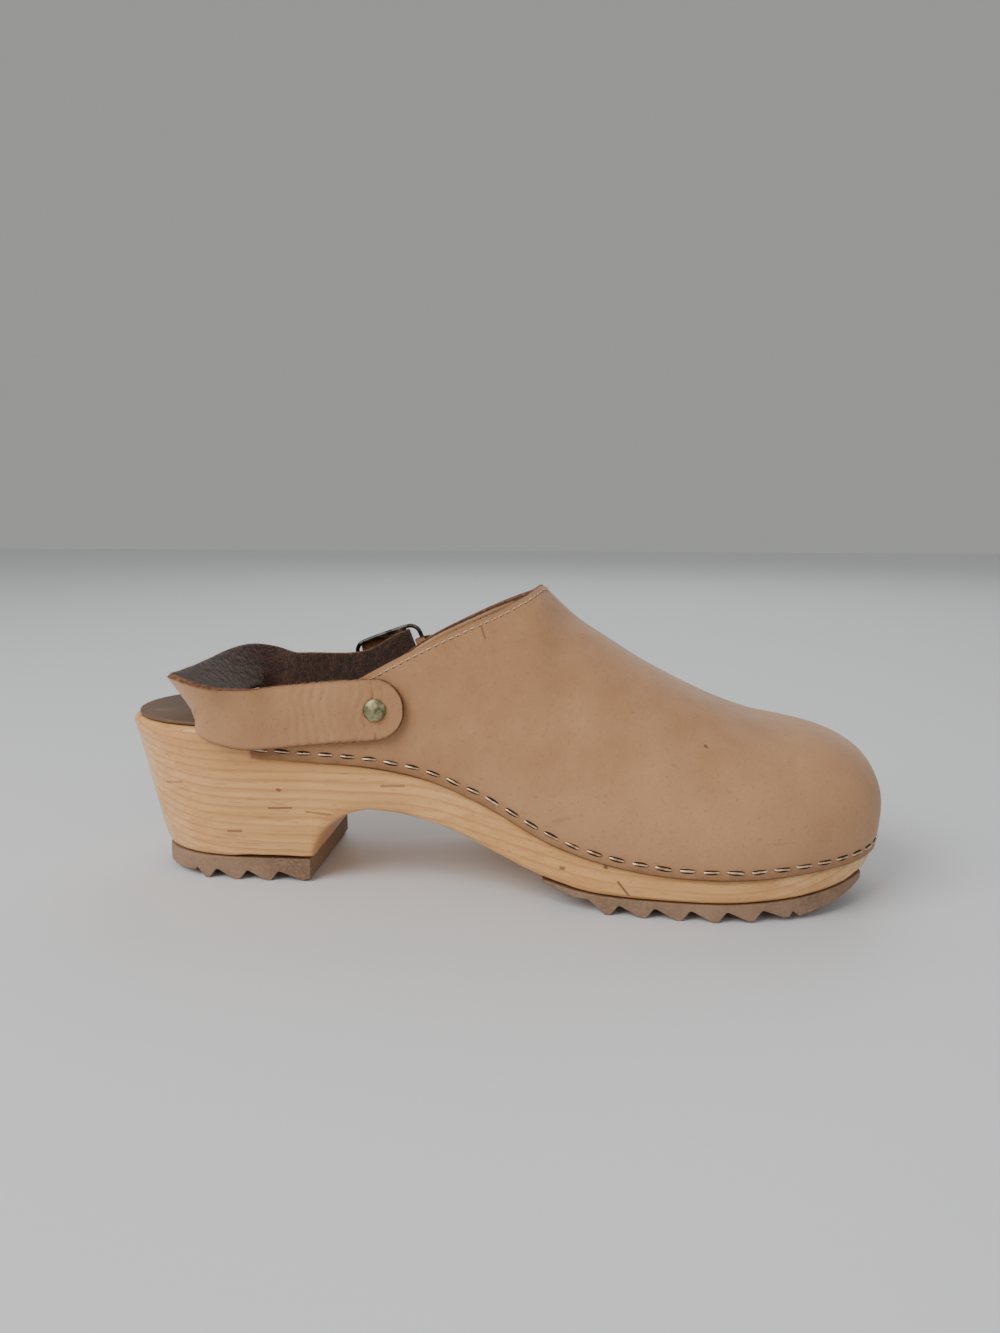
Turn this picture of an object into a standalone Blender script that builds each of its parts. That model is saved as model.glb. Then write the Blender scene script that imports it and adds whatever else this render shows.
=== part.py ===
"""Clog mule, left shoe: wooden sole, stapled leather upper, heel strap with a buckle.

Run with: blender --background --python part.py
Metres. The shoe is laid out with +X from heel to toe, +Y to the outer side, +Z up, and the floor
at Z = 0. An empty at the end moves everything so that the origin is under the middle of its box.
"""

from math import atan2, cos, degrees, pi, radians, sin, sqrt

import bmesh
import bpy
import numpy as np
from mathutils import Vector

MM = 0.001

# Driving sizes
SOLE_LENGTH = 262 * MM       # wood, heel back to toe
HEEL_WIDTH = 65.4 * MM
WAIST_WIDTH = 64.6 * MM
BALL_WIDTH = 96 * MM
TOE_WIDTH = 88 * MM          # width that the round toe is drawn in
HEEL_HEIGHT = 55.5 * MM      # floor to the rim of the heel seat
FOREFOOT_HEIGHT = 24.5 * MM  # floor to the rim at the ball
ARCH_HEIGHT = 27.6 * MM      # floor to the wood at the top of the arch
TOE_SPRING = 6.5 * MM        # how far the wood's underside rises at the toe
HEEL_BACK_SLOPE = 11 * MM    # how far the heel's back runs in, rim to floor
HEEL_SIDE_SLOPE = 5.4 * MM
EDGE_TUCK = 1.0 * MM         # the same for the forefoot's sides
DISH_DEPTH = 2.4 * MM
WOOD_EDGE = 1.6 * MM         # rounding of the wood's edges

HEEL_TREAD = 8.2 * MM
FOREFOOT_TREAD = 5.8 * MM
LUG_PITCH = 11.2 * MM
LUG_DEPTH = 3.3 * MM
LUG_FLAT = 1.6 * MM          # flat tip of a lug, along the shoe
HEEL_LUGS = 3
FOREFOOT_LUGS = 5
LUG_SHARES = (0.22, 0.30)    # shares of the pitch where the steep face and the groove end
TREAD_INSET = 0.9 * MM
TREAD_BEVEL = 2.0 * MM       # height of the heel pad's raised back edge
FIRST_HEEL_LUG = 0.127       # tips of the first lugs, shares of the length
FIRST_FOREFOOT_LUG = 0.660
FOREFOOT_TREAD_START = 0.575
FOREFOOT_TREAD_BLEND = (0.615, 0.633)  # the plain run before the lugs
FOREFOOT_TREAD_BACK = 4.6 * MM         # height of its underside
FOREFOOT_TREAD_END = 0.972
TOE_ROLL = 3.4 * MM          # how far the pad's underside curls up at the toe
TOE_ROLL_STEPS = 7

INSOLE = 1.2 * MM
INSOLE_EDGE = 0.985          # share of the way out to the rim

WALL = 2.2 * MM              # leather of the upper
MARGIN_PROUD = 0.8 * MM      # how far the leather stands out from the wood
MARGIN_HEIGHT = 9.5 * MM     # height of the ledge under the rim
COLLAR_HEIGHT = 101.4 * MM   # floor to the front of the collar
BALL_DEPTH = 62 * MM         # floor to the ridge over the ball
TOE_DEPTH = 57.8 * MM        # floor to the ridge where the round toe begins
TOE_OVERHANG = 1.8 * MM
SIDE_OVERHANG = 2.4 * MM

FACING = 0.9 * MM
FACING_WIDTH = 6.5 * MM

STRAP_WIDTH = 20.5 * MM
STRAP = 2.4 * MM
TAB_WIDTH = 12 * MM
TAB = 2.0 * MM
TAB_BOW = 1.5 * MM           # how far it stands out between its rivet and the buckle

RIVET_CAP = 3.95 * MM        # radius
RIVET_DOME = 1.5 * MM
RIVET_SHANK = 1.5 * MM       # radius
RIVET_WASHER = 3.2 * MM      # radius of the inner head
RIVET_WASHER_THICKNESS = 0.8 * MM

BUCKLE_LENGTH = 29 * MM      # outside, along the strap
BUCKLE_HEIGHT = 26 * MM      # outside, across the strap
BUCKLE_WIRE = 0.95 * MM      # radius
BUCKLE_CORNER = 4.2 * MM
FOLD_BAR_SETBACK = 7.4 * MM  # fold bar behind the front bar
PRONG_WIRE = 0.8 * MM        # radius
PRONG_HOLE_SETBACK = 14.5 * MM         # its hole in the tail, behind the fold bar

GAP = 0.3 * MM               # between pieces that touch on the real shoe

MEDIAL, LATERAL = -1, 1

# Width and middle line of the outline. Along: share of the sole's length.
# Width: size that holds there, and its share. Middle: share of the ball's width, + outwards.
OUTLINE_ROWS = [
    # along  size          share   middle
    (0.000, "heel", 1.000, 0.000),
    (0.190, "heel", 1.000, 0.001),
    (0.345, "waist", 1.000, 0.010),
    (0.420, "waist", 1.055, 0.020),
    (0.500, "ball", 0.812, 0.025),
    (0.573, "ball", 0.896, 0.018),
    (0.650, "ball", 0.968, 0.008),
    (0.728, "ball", 1.000, 0.000),
    (0.785, "ball", 0.992, -0.013),
    (0.850, "toe", 1.045, -0.026),
    (0.925, "toe", 1.015, -0.038),
    (1.000, "toe", 1.000, -0.048),
]
HEEL_ROUND = 0.160           # the heel's back is round over this share of the length
TOE_ROUND = 0.782            # the toe is round from this share on
HEEL_POWER = 2.1             # 2 is an ellipse, more is squarer
TOE_POWER = 2.2

# Rim of the wood: share of the way from the forefoot's height up to the heel's.
RIM_ROWS = [
    (0.000, 1.000), (0.210, 0.995), (0.267, 0.968), (0.317, 0.945), (0.366, 0.900),
    (0.420, 0.820), (0.471, 0.690), (0.523, 0.505), (0.573, 0.285), (0.622, 0.145),
    (0.672, 0.062), (0.720, 0.012), (0.765, 0.000), (0.824, 0.006), (0.882, 0.040),
    (0.935, 0.065), (1.000, 0.070),
]

# Underside of the wood from the heel's front edge over the arch: share of the way from the tread
# up to the arch's height.
ARCH_ROWS = [
    (0.270, 0.000), (0.2735, 0.180), (0.283, 0.480), (0.305, 0.760), (0.325, 0.905),
    (0.353, 1.000), (0.393, 0.960), (0.431, 0.845), (0.484, 0.620), (0.523, 0.415),
    (0.573, 0.180), (0.605, 0.075), (0.650, 0.015), (0.706, 0.000),
]
HEEL_FRONT = ARCH_ROWS[0][0]
ARCH_TOP = 0.353
SPRING_ROWS = [(0.770, 0.000), (0.824, 0.080), (0.886, 0.250), (0.937, 0.520), (1.000, 1.000)]

# Ridge of the upper: height as a share between two named heights, low first.
RIDGE_ROWS = [
    # along  low     high      share
    (0.200, "ball", "collar", 2.320),
    (0.324, "ball", "collar", 1.840),
    (0.390, "ball", "collar", 1.600),
    (0.462, "ball", "collar", 1.340),
    (0.534, "ball", "collar", 1.110),
    (0.567, "ball", "collar", 1.000),
    (0.588, "ball", "collar", 0.838),
    (0.641, "ball", "collar", 0.590),
    (0.695, "ball", "collar", 0.362),
    (0.748, "ball", "collar", 0.166),
    (0.802, "ball", "collar", 0.000),
    (0.848, "toe", "ball", 0.000),
]
PEAK = 0.567                 # front of the collar
TOE_POLE = 0.848             # ribs fan out from here round the toe
RIDGE_SLOPE = -0.15          # of the ridge over the toe

# Fullness of the upper's sections: 2 is an ellipse, more is squarer.
FULLNESS_ROWS = [(0.200, 2.0), (0.567, 2.0), (0.700, 2.25), (0.848, 2.8)]
TOE_FULLNESS = 4.2           # straight ahead

# Overhang along the side: share of the side's overhang.
OVERHANG_ROWS = [(0.200, 0.0), (0.450, 0.0), (0.600, 0.6), (0.750, 1.0), (0.848, 1.1)]

# Collar: how far up the section it is cut, in degrees (90 is the ridge), and where along the shoe.
COLLAR_ROWS = [
    # medial, lateral, along
    (2.6, 2.4, 0.202),
    (5.0, 4.4, 0.232),
    (10.5, 9.0, 0.275),
    (16.5, 13.8, 0.322),
    (27.5, 26.5, 0.392),
    (35.8, 35.0, 0.435),
    (45.0, 44.5, 0.475),
    (56.5, 56.5, 0.517),
    (73.0, 71.0, 0.553),
    (90.0, 90.0, 0.567),
]
BACK_CORNER = COLLAR_ROWS[0][2]
PEAK_FOOT = 0.655            # rib that ends at the collar's front starts here at the edge

# Heel strap, middle line from the inner rivet round the heel to the outer side.
# Along: share of the sole's length. Out: share of half the heel's width. Up: above the rim, share of
# the strap's width. Lean: degrees outwards. Tilt: degrees of the band's width away from upright.
STRAP_ROWS = [
    # along   out     up     lean  tilt
    (0.3960, -1.010, 0.385, 0, 0),
    (0.3640, -1.015, 0.366, 0, 0),
    (0.3050, -1.045, 0.317, -3, 0),
    (0.2600, -1.075, 0.263, -1, 0),
    (0.2140, -1.110, 0.205, 2, 0),
    (0.1850, -1.130, 0.225, 5, 0),
    (0.1610, -1.150, 0.290, 10, 0),
    (0.1410, -1.130, 0.410, 18, 0),
    (0.1230, -1.010, 0.500, 29, 0),
    (0.1090, -0.760, 0.480, 38, 0),
    (0.1010, -0.400, 0.430, 43, 0),
    (0.0985, 0.000, 0.410, 44, 0),
    (0.1010, 0.400, 0.430, 43, 0),
    (0.1090, 0.760, 0.480, 38, 0),
    (0.1230, 1.010, 0.500, 29, 0),
    (0.1410, 1.130, 0.410, 18, 0),
    (0.1610, 1.150, 0.300, 10, 0),
    (0.1850, 1.130, 0.235, 5, 0),
    (0.2250, 1.145, 0.235, 1, 0),
    (0.2670, 1.140, 0.235, 0, 4),
    (0.2980, 1.135, 0.300, 0, 10),
    (0.3240, 1.130, 0.425, 0, 16),
    (0.3450, 1.128, 0.600, 0, 20),
]

# The strap narrows towards the back. Along: share of the sole's length. Then its share of the width.
STRAP_WIDTH_ROWS = [(0.090, 0.860), (0.130, 0.900), (0.200, 1.000)]
RIVET_ROW = 1                # the row that the inner rivet goes through
STRAP_SEAT_END = 0.232       # the strap lies on the upper from here forward
STRAP_END_SHARES = (0.975, 0.87, 0.64, 0.34, 0.0)  # rows over the strap's rounded end
STRAP_END_REACH = 0.94       # share of half its width

# Buckle: its middle, and the slopes of its long sides and of the strap's turned-back tail.
BUCKLE_ALONG = 0.335
BUCKLE_OUT = 1.215           # share of half the heel's width
BUCKLE_UP = 0.555            # above the rim, share of the strap's width
BUCKLE_SLOPE = 20
TAIL_SLOPE = 11
TAIL_LENGTH = 19 * MM
TAIL_RISE = 0.02             # of the strap's width, at the fold

RIVET_LATERAL_ALONG = 0.431
RIVET_LATERAL_UP = 0.93      # above the rim there, share of the strap's width

# Colours of the pieces: base colour, roughness, metallic
FINISHES = {
    "wood": ((0.75, 0.50, 0.24), 0.5, 0.0),
    "rubber": ((0.30, 0.20, 0.13), 0.8, 0.0),
    "insole": ((0.15, 0.10, 0.06), 0.45, 0.0),
    "nubuck": ((0.48, 0.28, 0.15), 0.85, 0.0),
    "facing": ((0.50, 0.31, 0.17), 0.6, 0.0),
    "antique_brass": ((0.20, 0.19, 0.12), 0.4, 0.9),
    "gunmetal": ((0.04, 0.04, 0.035), 0.4, 0.8),
}


# Curves through tables

def smooth_curve(xs, ys):
    """Curve through the rows that never overshoots them."""
    xs, ys = np.array(xs, float), np.array(ys, float)
    steps, rises = np.diff(xs), np.diff(ys)
    slopes = rises / steps
    tangents = np.zeros(len(xs))
    tangents[0], tangents[-1] = slopes[0], slopes[-1]
    for i in range(1, len(xs) - 1):
        if slopes[i - 1] * slopes[i] > 0:
            before, after = 2 * steps[i] + steps[i - 1], steps[i] + 2 * steps[i - 1]
            tangents[i] = (before + after) / (before / slopes[i - 1] + after / slopes[i])

    def value(x):
        x = min(max(x, xs[0]), xs[-1])
        i = min(max(int(np.searchsorted(xs, x)) - 1, 0), len(steps) - 1)
        h, t = steps[i], (x - xs[i]) / steps[i]
        return float(
            (1 + 2 * t) * (1 - t) ** 2 * ys[i] + t * (1 - t) ** 2 * h * tangents[i]
            + t * t * (3 - 2 * t) * ys[i + 1] + t * t * (t - 1) * h * tangents[i + 1])
    return value


def along_curve(rows, column=1, scale=1.0):
    """Curve of one column over the first column, which is a share of the sole's length."""
    return smooth_curve([row[0] * SOLE_LENGTH for row in rows], [row[column] * scale for row in rows])


WIDTHS = {"heel": HEEL_WIDTH, "waist": WAIST_WIDTH, "ball": BALL_WIDTH, "toe": TOE_WIDTH}
HEIGHTS = {"ball": BALL_DEPTH, "collar": COLLAR_HEIGHT, "toe": TOE_DEPTH}

outline_width = smooth_curve([row[0] * SOLE_LENGTH for row in OUTLINE_ROWS],
                             [WIDTHS[row[1]] * row[2] for row in OUTLINE_ROWS])
middle = along_curve(OUTLINE_ROWS, 3, BALL_WIDTH)
rim_share = along_curve(RIM_ROWS)
arch_share = along_curve(ARCH_ROWS)
spring = along_curve(SPRING_ROWS, 1, TOE_SPRING)
ridge_height = smooth_curve(
    [row[0] * SOLE_LENGTH for row in RIDGE_ROWS],
    [HEIGHTS[row[1]] + (HEIGHTS[row[2]] - HEIGHTS[row[1]]) * row[3] for row in RIDGE_ROWS])
fullness = along_curve(FULLNESS_ROWS)
overhang = along_curve(OVERHANG_ROWS, 1, SIDE_OVERHANG)
strap_width = along_curve(STRAP_WIDTH_ROWS, 1, STRAP_WIDTH)
collar_along = {
    MEDIAL: smooth_curve([row[0] for row in COLLAR_ROWS], [row[2] * SOLE_LENGTH for row in COLLAR_ROWS]),
    LATERAL: smooth_curve([row[1] for row in COLLAR_ROWS], [row[2] * SOLE_LENGTH for row in COLLAR_ROWS]),
}


def rim_z(x):
    return FOREFOOT_HEIGHT + (HEEL_HEIGHT - FOREFOOT_HEIGHT) * rim_share(x)


def edge_z(x):
    """Lower edge of the upper."""
    return rim_z(x) - MARGIN_HEIGHT


def underside_z(x):
    """Underside of the wood."""
    if x <= HEEL_FRONT * SOLE_LENGTH:
        return HEEL_TREAD + GAP
    base = HEEL_TREAD if x < ARCH_TOP * SOLE_LENGTH else FOREFOOT_TREAD
    return base + GAP + (ARCH_HEIGHT - base - GAP) * arch_share(x) + spring(x)


# Outline of the sole, as ribs from its edge to a spine

class Rib:
    """One place on the outline, with the spine point that its section runs to."""

    def __init__(self, x, y, side, spine_x):
        self.edge = Vector((x, y, 0))
        self.side = side
        self.spine = Vector((spine_x, middle(spine_x), 0))
        self.outward = Vector((0, 0, 0))

    def inset(self, distance):
        """Point in plan, moved in from the outline."""
        return self.edge - self.outward * distance


def side_y(x, side):
    """Outline at x, where the ends are round."""
    share = 1.0
    heel_round, toe_round = HEEL_ROUND * SOLE_LENGTH, TOE_ROUND * SOLE_LENGTH
    if x < heel_round:
        share = (1 - ((heel_round - x) / heel_round) ** HEEL_POWER) ** (1 / HEEL_POWER)
    elif x > toe_round:
        reach = min((x - toe_round) / (SOLE_LENGTH - toe_round), 1.0)
        share = (1 - reach ** TOE_POWER) ** (1 / TOE_POWER)
    return middle(x) + side * share * outline_width(x) / 2


def side_stations():
    """Places along the shoe where both sides have a rib, closer where the forms turn."""
    key = [HEEL_ROUND, 0.181, BACK_CORNER - 0.001, BACK_CORNER, 0.235]
    key += [row[0] for row in ARCH_ROWS[:6]] + [0.374, 0.393, 0.413]
    key += [0.431, 0.452, 0.471, 0.490, 0.510, 0.530, 0.552, 0.573, 0.600, 0.640]
    key += [0.683, 0.726, 0.765, 0.790, 0.818, TOE_POLE]
    return [share * SOLE_LENGTH for share in key]


def outline_ribs(heel_steps=7, toe_steps=9):
    """Ribs counter-clockwise from the middle of the heel's back."""
    heel_round, toe_round = HEEL_ROUND * SOLE_LENGTH, TOE_ROUND * SOLE_LENGTH
    pole = TOE_POLE * SOLE_LENGTH
    reach = (pole - toe_round) / (SOLE_LENGTH - toe_round)
    start = np.arcsin(reach ** (TOE_POWER / 2))
    heel = [heel_round * (1 - cos(radians(90) * i / heel_steps) ** (2 / HEEL_POWER))
            for i in range(heel_steps)]
    turns = [start + (pi / 2 - start) * i / toe_steps for i in range(1, toe_steps + 1)]
    toe = [toe_round + (SOLE_LENGTH - toe_round) * sin(turn) ** (2 / TOE_POWER) for turn in turns]
    half = [(x, heel_round) for x in heel] + [(x, x) for x in side_stations()] + [(x, pole) for x in toe]
    ribs = [Rib(x, side_y(x, MEDIAL), MEDIAL, spine) for x, spine in half]
    ribs += [Rib(x, side_y(x, LATERAL), LATERAL, spine) for x, spine in reversed(half[1:-1])]
    for i, rib in enumerate(ribs):
        ahead = ribs[(i + 1) % len(ribs)].edge - ribs[i - 1].edge
        rib.outward = Vector((ahead.y, -ahead.x, 0)).normalized()
    return ribs


RIBS = outline_ribs()


# Meshes from columns of points

class Body:
    """Collects points and faces, and makes one object of them."""

    def __init__(self):
        self.points = []
        self.faces = []
        self.shared = {}

    def add(self, point):
        self.points.append(Vector(point))
        return len(self.points) - 1

    def add_shared(self, key, point):
        """One point for all ribs that end there."""
        if key not in self.shared:
            self.shared[key] = self.add(point)
        return self.shared[key]

    def face(self, *corners):
        kept = [c for i, c in enumerate(corners) if c != corners[i - 1]]
        if len(set(kept)) >= 3:
            self.faces.append(kept)

    def strip(self, left, right):
        """Faces between two columns of as many points."""
        for i in range(len(left) - 1):
            self.face(left[i], right[i], right[i + 1])
            self.face(left[i], right[i + 1], left[i + 1])

    def make(self, name, finish, sharp_angle=40):
        mesh = bpy.data.meshes.new(name)
        mesh.from_pydata(self.points, [], self.faces)
        return finished(name, mesh, finish, sharp_angle)


def material(finish):
    found = bpy.data.materials.get(finish)
    if found:
        return found
    colour, roughness, metallic = FINISHES[finish]
    made = bpy.data.materials.new(finish)
    made.use_nodes = True
    shader = made.node_tree.nodes["Principled BSDF"]
    shader.inputs["Base Color"].default_value = (*colour, 1)
    shader.inputs["Roughness"].default_value = roughness
    shader.inputs["Metallic"].default_value = metallic
    return made


def finished(name, mesh, finish, sharp_angle=40):
    """Object from a mesh, with its faces turned outwards and shaded smooth."""
    shape = bmesh.new()
    shape.from_mesh(mesh)
    bmesh.ops.recalc_face_normals(shape, faces=shape.faces)
    if shape.calc_volume(signed=True) < 0:
        bmesh.ops.reverse_faces(shape, faces=shape.faces)
    bmesh.ops.triangulate(shape, faces=shape.faces)
    shape.to_mesh(mesh)
    shape.free()
    mesh.shade_smooth()
    mesh.set_sharp_from_angle(angle=radians(sharp_angle))
    mesh.materials.append(material(finish))
    made = bpy.data.objects.new(name, mesh)
    bpy.context.scene.collection.objects.link(made)
    return made


def cutter(name, body):
    """Object that only cuts others."""
    made = body.make(name, "rubber")
    made.hide_render = True
    made.display_type = "WIRE"
    return made


def cut(target, tool, operation="DIFFERENCE"):
    step = target.modifiers.new(tool.name, "BOOLEAN")
    step.operation = operation
    step.solver = "EXACT"
    step.object = tool


# Wooden sole

def heel_slope(rib):
    """How far the side runs in from rim to floor: most at the heel's back."""
    back = max(-rib.outward.x, 0) ** 2
    heel = HEEL_SIDE_SLOPE + (HEEL_BACK_SLOPE - HEEL_SIDE_SLOPE) * back
    start, end = HEEL_FRONT * SOLE_LENGTH, ARCH_TOP * SOLE_LENGTH
    share = min(max((rib.edge.x - start) / (end - start), 0), 1)
    return heel + (EDGE_TUCK - heel) * share


def has_upper(rib):
    return rib.edge.x >= BACK_CORNER * SOLE_LENGTH - 1e-9


def footbed_z(x, share):
    """Footbed at a share of the way from the spine to the rim."""
    return rim_z(x) - DISH_DEPTH * (1 - share ** 2)


FOOTBED_SHARES = (0.86, 0.55)


def towards_edge(rib, inset, share):
    """Plan point at a share of the way from the spine to the inset outline."""
    return rib.spine.lerp(rib.inset(inset), share)


def wood_sole():
    body = Body()
    ledge_depth = WALL - MARGIN_PROUD + GAP
    columns = []
    for rib in RIBS:
        x = rib.edge.x
        slope = heel_slope(rib)
        low, rim = underside_z(x), rim_z(x)
        ledge = edge_z(x) - GAP
        bottom = rib.inset(slope)
        spine = rib.spine

        def on_side(z):
            share = (rim - z) / (rim - HEEL_TREAD) if x < ARCH_TOP * SOLE_LENGTH else (rim - z) / (rim - low)
            return rib.inset(slope * min(max(share, 0), 1))

        depth = ledge_depth if has_upper(rib) else 0.0
        column = [body.add_shared(("under", spine.x), (spine.x, spine.y, underside_z(spine.x)))]
        half_way = spine.lerp(bottom, 0.6)
        column.append(body.add((half_way.x, half_way.y, underside_z(half_way.x))))
        inner = rib.inset(slope + WOOD_EDGE)
        column.append(body.add((inner.x, inner.y, underside_z(inner.x))))
        outer = on_side(low + WOOD_EDGE)
        column.append(body.add((outer.x, outer.y, low + WOOD_EDGE)))
        corner = on_side(ledge - GAP)
        column.append(body.add((corner.x, corner.y, ledge - GAP)))
        foot = rib.inset(depth) if depth else on_side(ledge)
        column.append(body.add((foot.x, foot.y, ledge)))
        lean = GAP if has_upper(rib) else 0.0
        shoulder = rib.inset(depth + lean)
        column.append(body.add((shoulder.x, shoulder.y, rim_z(shoulder.x) - WOOD_EDGE)))
        crest = rib.inset(depth + lean + WOOD_EDGE)
        column.append(body.add((crest.x, crest.y, rim_z(crest.x))))
        for share in FOOTBED_SHARES:
            bed = towards_edge(rib, depth + lean + WOOD_EDGE, share)
            column.append(body.add((bed.x, bed.y, footbed_z(bed.x, share))))
        column.append(body.add_shared(("bed", spine.x), (spine.x, spine.y, footbed_z(spine.x, 0))))
        columns.append(column)
    for i, column in enumerate(columns):
        body.strip(columns[i - 1], column)
    return body.make("wood_sole", "wood")


def insole():
    body = Body()
    columns = []
    for rib in RIBS:
        inset = WOOD_EDGE + (WALL - MARGIN_PROUD + 2 * GAP if has_upper(rib) else 0.0)
        spine = rib.spine
        top = footbed_z(spine.x, 0) + GAP + INSOLE
        column = [body.add_shared(("top", spine.x), (spine.x, spine.y, top))]
        plan = [(share, towards_edge(rib, inset, share)) for share in reversed(FOOTBED_SHARES)]
        plan.append((INSOLE_EDGE, towards_edge(rib, inset, INSOLE_EDGE)))
        for share, point in plan:
            column.append(body.add((point.x, point.y, footbed_z(point.x, share) + GAP + INSOLE)))
        for share, point in reversed(plan):
            column.append(body.add((point.x, point.y, footbed_z(point.x, share) + GAP)))
        column.append(body.add_shared(("low", spine.x), (spine.x, spine.y, top - INSOLE)))
        columns.append(column)
    for i, column in enumerate(columns):
        body.strip(columns[i - 1], column)
    return body.make("insole", "insole")


# Rubber treads

def plan_width(inset_of, x, side):
    """Y of an inset outline at x, or None past its ends."""
    line = [rib.inset(inset_of(rib)) for rib in RIBS if rib.side == side or rib in (RIBS[0],)]
    line.sort(key=lambda point: point.x)
    for a, b in zip(line, line[1:]):
        if a.x <= x <= b.x and b.x > a.x:
            return a.y + (b.y - a.y) * (x - a.x) / (b.x - a.x)
    return None


def tread(name, inset_of, stations):
    """Pad under the wood: stations are (x, z of its underside)."""
    body = Body()
    rings = []
    for x, low in stations:
        ys = [plan_width(inset_of, x, side) for side in (MEDIAL, LATERAL)]
        top = underside_z(x) - GAP
        rings.append([body.add((x, ys[0], top)), body.add((x, ys[1], top)),
                      body.add((x, ys[1], low)), body.add((x, ys[0], low))])
    for left, right in zip(rings, rings[1:]):
        body.strip(left + left[:1], right + right[:1])
    body.faces.append(rings[0][::-1])
    body.faces.append(rings[-1])
    return body.make(name, "rubber", 20)


def lug_profile(first_tip, count, lift):
    """Cross lugs: a long slope down to each tip, and a steep face towards the toe."""
    rows = []
    for i in range(count):
        tip = first_tip + i * LUG_PITCH
        rows.append((tip - LUG_FLAT, lift(tip)))
        rows.append((tip, lift(tip)))
        for share in LUG_SHARES:
            rows.append((tip + share * LUG_PITCH, lift(tip) + LUG_DEPTH))
    return rows


def merged_stations(profile, extra):
    """Profile points plus extra places that follow it, in order."""
    xs = [row[0] for row in profile]
    zs = [row[1] for row in profile]
    rows = list(profile)
    for x in extra:
        if min(abs(x - known) for known in xs) > 0.4 * MM:
            rows.append((x, float(np.interp(x, xs, zs))))
    return sorted(rows)


def heel_tread():
    def inset_of(rib):
        return heel_slope(rib) + TREAD_INSET
    back = RIBS[0].inset(inset_of(RIBS[0])).x
    front = HEEL_FRONT * SOLE_LENGTH - TREAD_INSET
    reach = HEEL_ROUND * SOLE_LENGTH - back
    first_tip = FIRST_HEEL_LUG * SOLE_LENGTH
    profile = [(back + 0.2 * MM, TREAD_BEVEL), (first_tip - 0.50 * LUG_PITCH, TREAD_BEVEL),
               (first_tip - 0.44 * LUG_PITCH, LUG_DEPTH)]
    profile += lug_profile(first_tip, HEEL_LUGS, lambda x: 0.0)
    profile += [(front - 0.25 * LUG_PITCH, 0.4 * MM), (front, 1.2 * MM)]
    extra = [back + reach * (1 - cos(radians(90) * i / 7)) for i in range(1, 8)]
    return tread("heel_tread", inset_of, merged_stations(profile, extra))


def forefoot_tread():
    def inset_of(rib):
        return EDGE_TUCK + TREAD_INSET
    start = FOREFOOT_TREAD_START * SOLE_LENGTH
    profile = [(start, underside_z(start) - 1.0 * MM)]
    profile += [(share * SOLE_LENGTH, FOREFOOT_TREAD_BACK) for share in FOREFOOT_TREAD_BLEND]
    first_tip = FIRST_FOREFOOT_LUG * SOLE_LENGTH
    profile += lug_profile(first_tip, FOREFOOT_LUGS, spring)
    blunt = first_tip + FOREFOOT_LUGS * LUG_PITCH
    last = blunt + LUG_SHARES[1] * LUG_PITCH
    profile += [(blunt - LUG_FLAT, spring(blunt)), (blunt, spring(blunt)),
                (blunt + 0.1 * LUG_PITCH, spring(blunt) + 0.6 * LUG_DEPTH), (last, spring(blunt))]
    reach = FOREFOOT_TREAD_END * SOLE_LENGTH - last
    for i in range(1, TOE_ROLL_STEPS + 1):
        share = sin(radians(90) * i / TOE_ROLL_STEPS)
        x = last + reach * share
        profile.append((x, spring(x) + TOE_ROLL * (1 - cos(radians(90) * share))))
    return tread("forefoot_tread", inset_of, profile)


# Upper

def section_point(x, angle, side):
    """Outer face of the upper in the upright section at x; angle 0 is the edge, 90 the ridge."""
    power = fullness(x)
    across = cos(radians(angle)) ** (2 / power) if angle < 90 else 0.0
    up = sin(radians(angle)) ** (2 / power)
    reach = abs(side_y(x, side) - middle(x)) + MARGIN_PROUD
    belly = overhang(x) * 6.75 * up * (1 - up) ** 2
    low = edge_z(x)
    return Vector((x, middle(x) + side * (reach * across + belly), low + (ridge_height(x) - low) * up))


def toe_point(rib, angle):
    """The same for a rib of the round toe, which runs to the pole."""
    ahead = (rib.edge - rib.spine).normalized()
    forward = max(ahead.x, 0)
    power = fullness(rib.spine.x) + (TOE_FULLNESS - fullness(rib.spine.x)) * forward ** 2
    across = cos(radians(angle)) ** (2 / power) if angle < 90 else 0.0
    up = sin(radians(angle)) ** (2 / power)
    side_belly = overhang(rib.spine.x)
    belly = (side_belly + (TOE_OVERHANG - side_belly) * forward ** 2) * 6.75 * up * (1 - up) ** 2
    run = rib.inset(-MARGIN_PROUD) - rib.spine
    plan = rib.spine + run * across + ahead * belly
    low = edge_z(rib.edge.x)
    top = TOE_DEPTH + RIDGE_SLOPE * (plan.x - rib.spine.x)
    return Vector((plan.x, plan.y, low + (top - low) * up))


def upper_y(x, z, side):
    """Outer face of the upper, or of its surface carried on past the collar."""
    low = edge_z(x)
    up = min(max((z - low) / (ridge_height(x) - low), 0.0), 1.0)
    power = fullness(x)
    across = (1 - up ** power) ** (1 / power)
    reach = abs(side_y(x, side) - middle(x)) + MARGIN_PROUD
    return middle(x) + side * (reach * across + overhang(x) * 6.75 * up * (1 - up) ** 2)


def upper_normal(x, z, side):
    """Outward direction of that face."""
    d = 0.5 * MM
    here = upper_y(x, z, side)
    slope_x = (upper_y(x + d, z, side) - here) / d
    slope_z = (upper_y(x, z + d, side) - here) / d
    return Vector((-slope_x, 1, -slope_z)).normalized() * side


COLLAR_COLUMNS = 17
VAMP_COLUMNS = 8
UPPER_ROWS = 9
COLLAR_LEAN = 1.55           # how soon the ribs reach up to the collar


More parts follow.
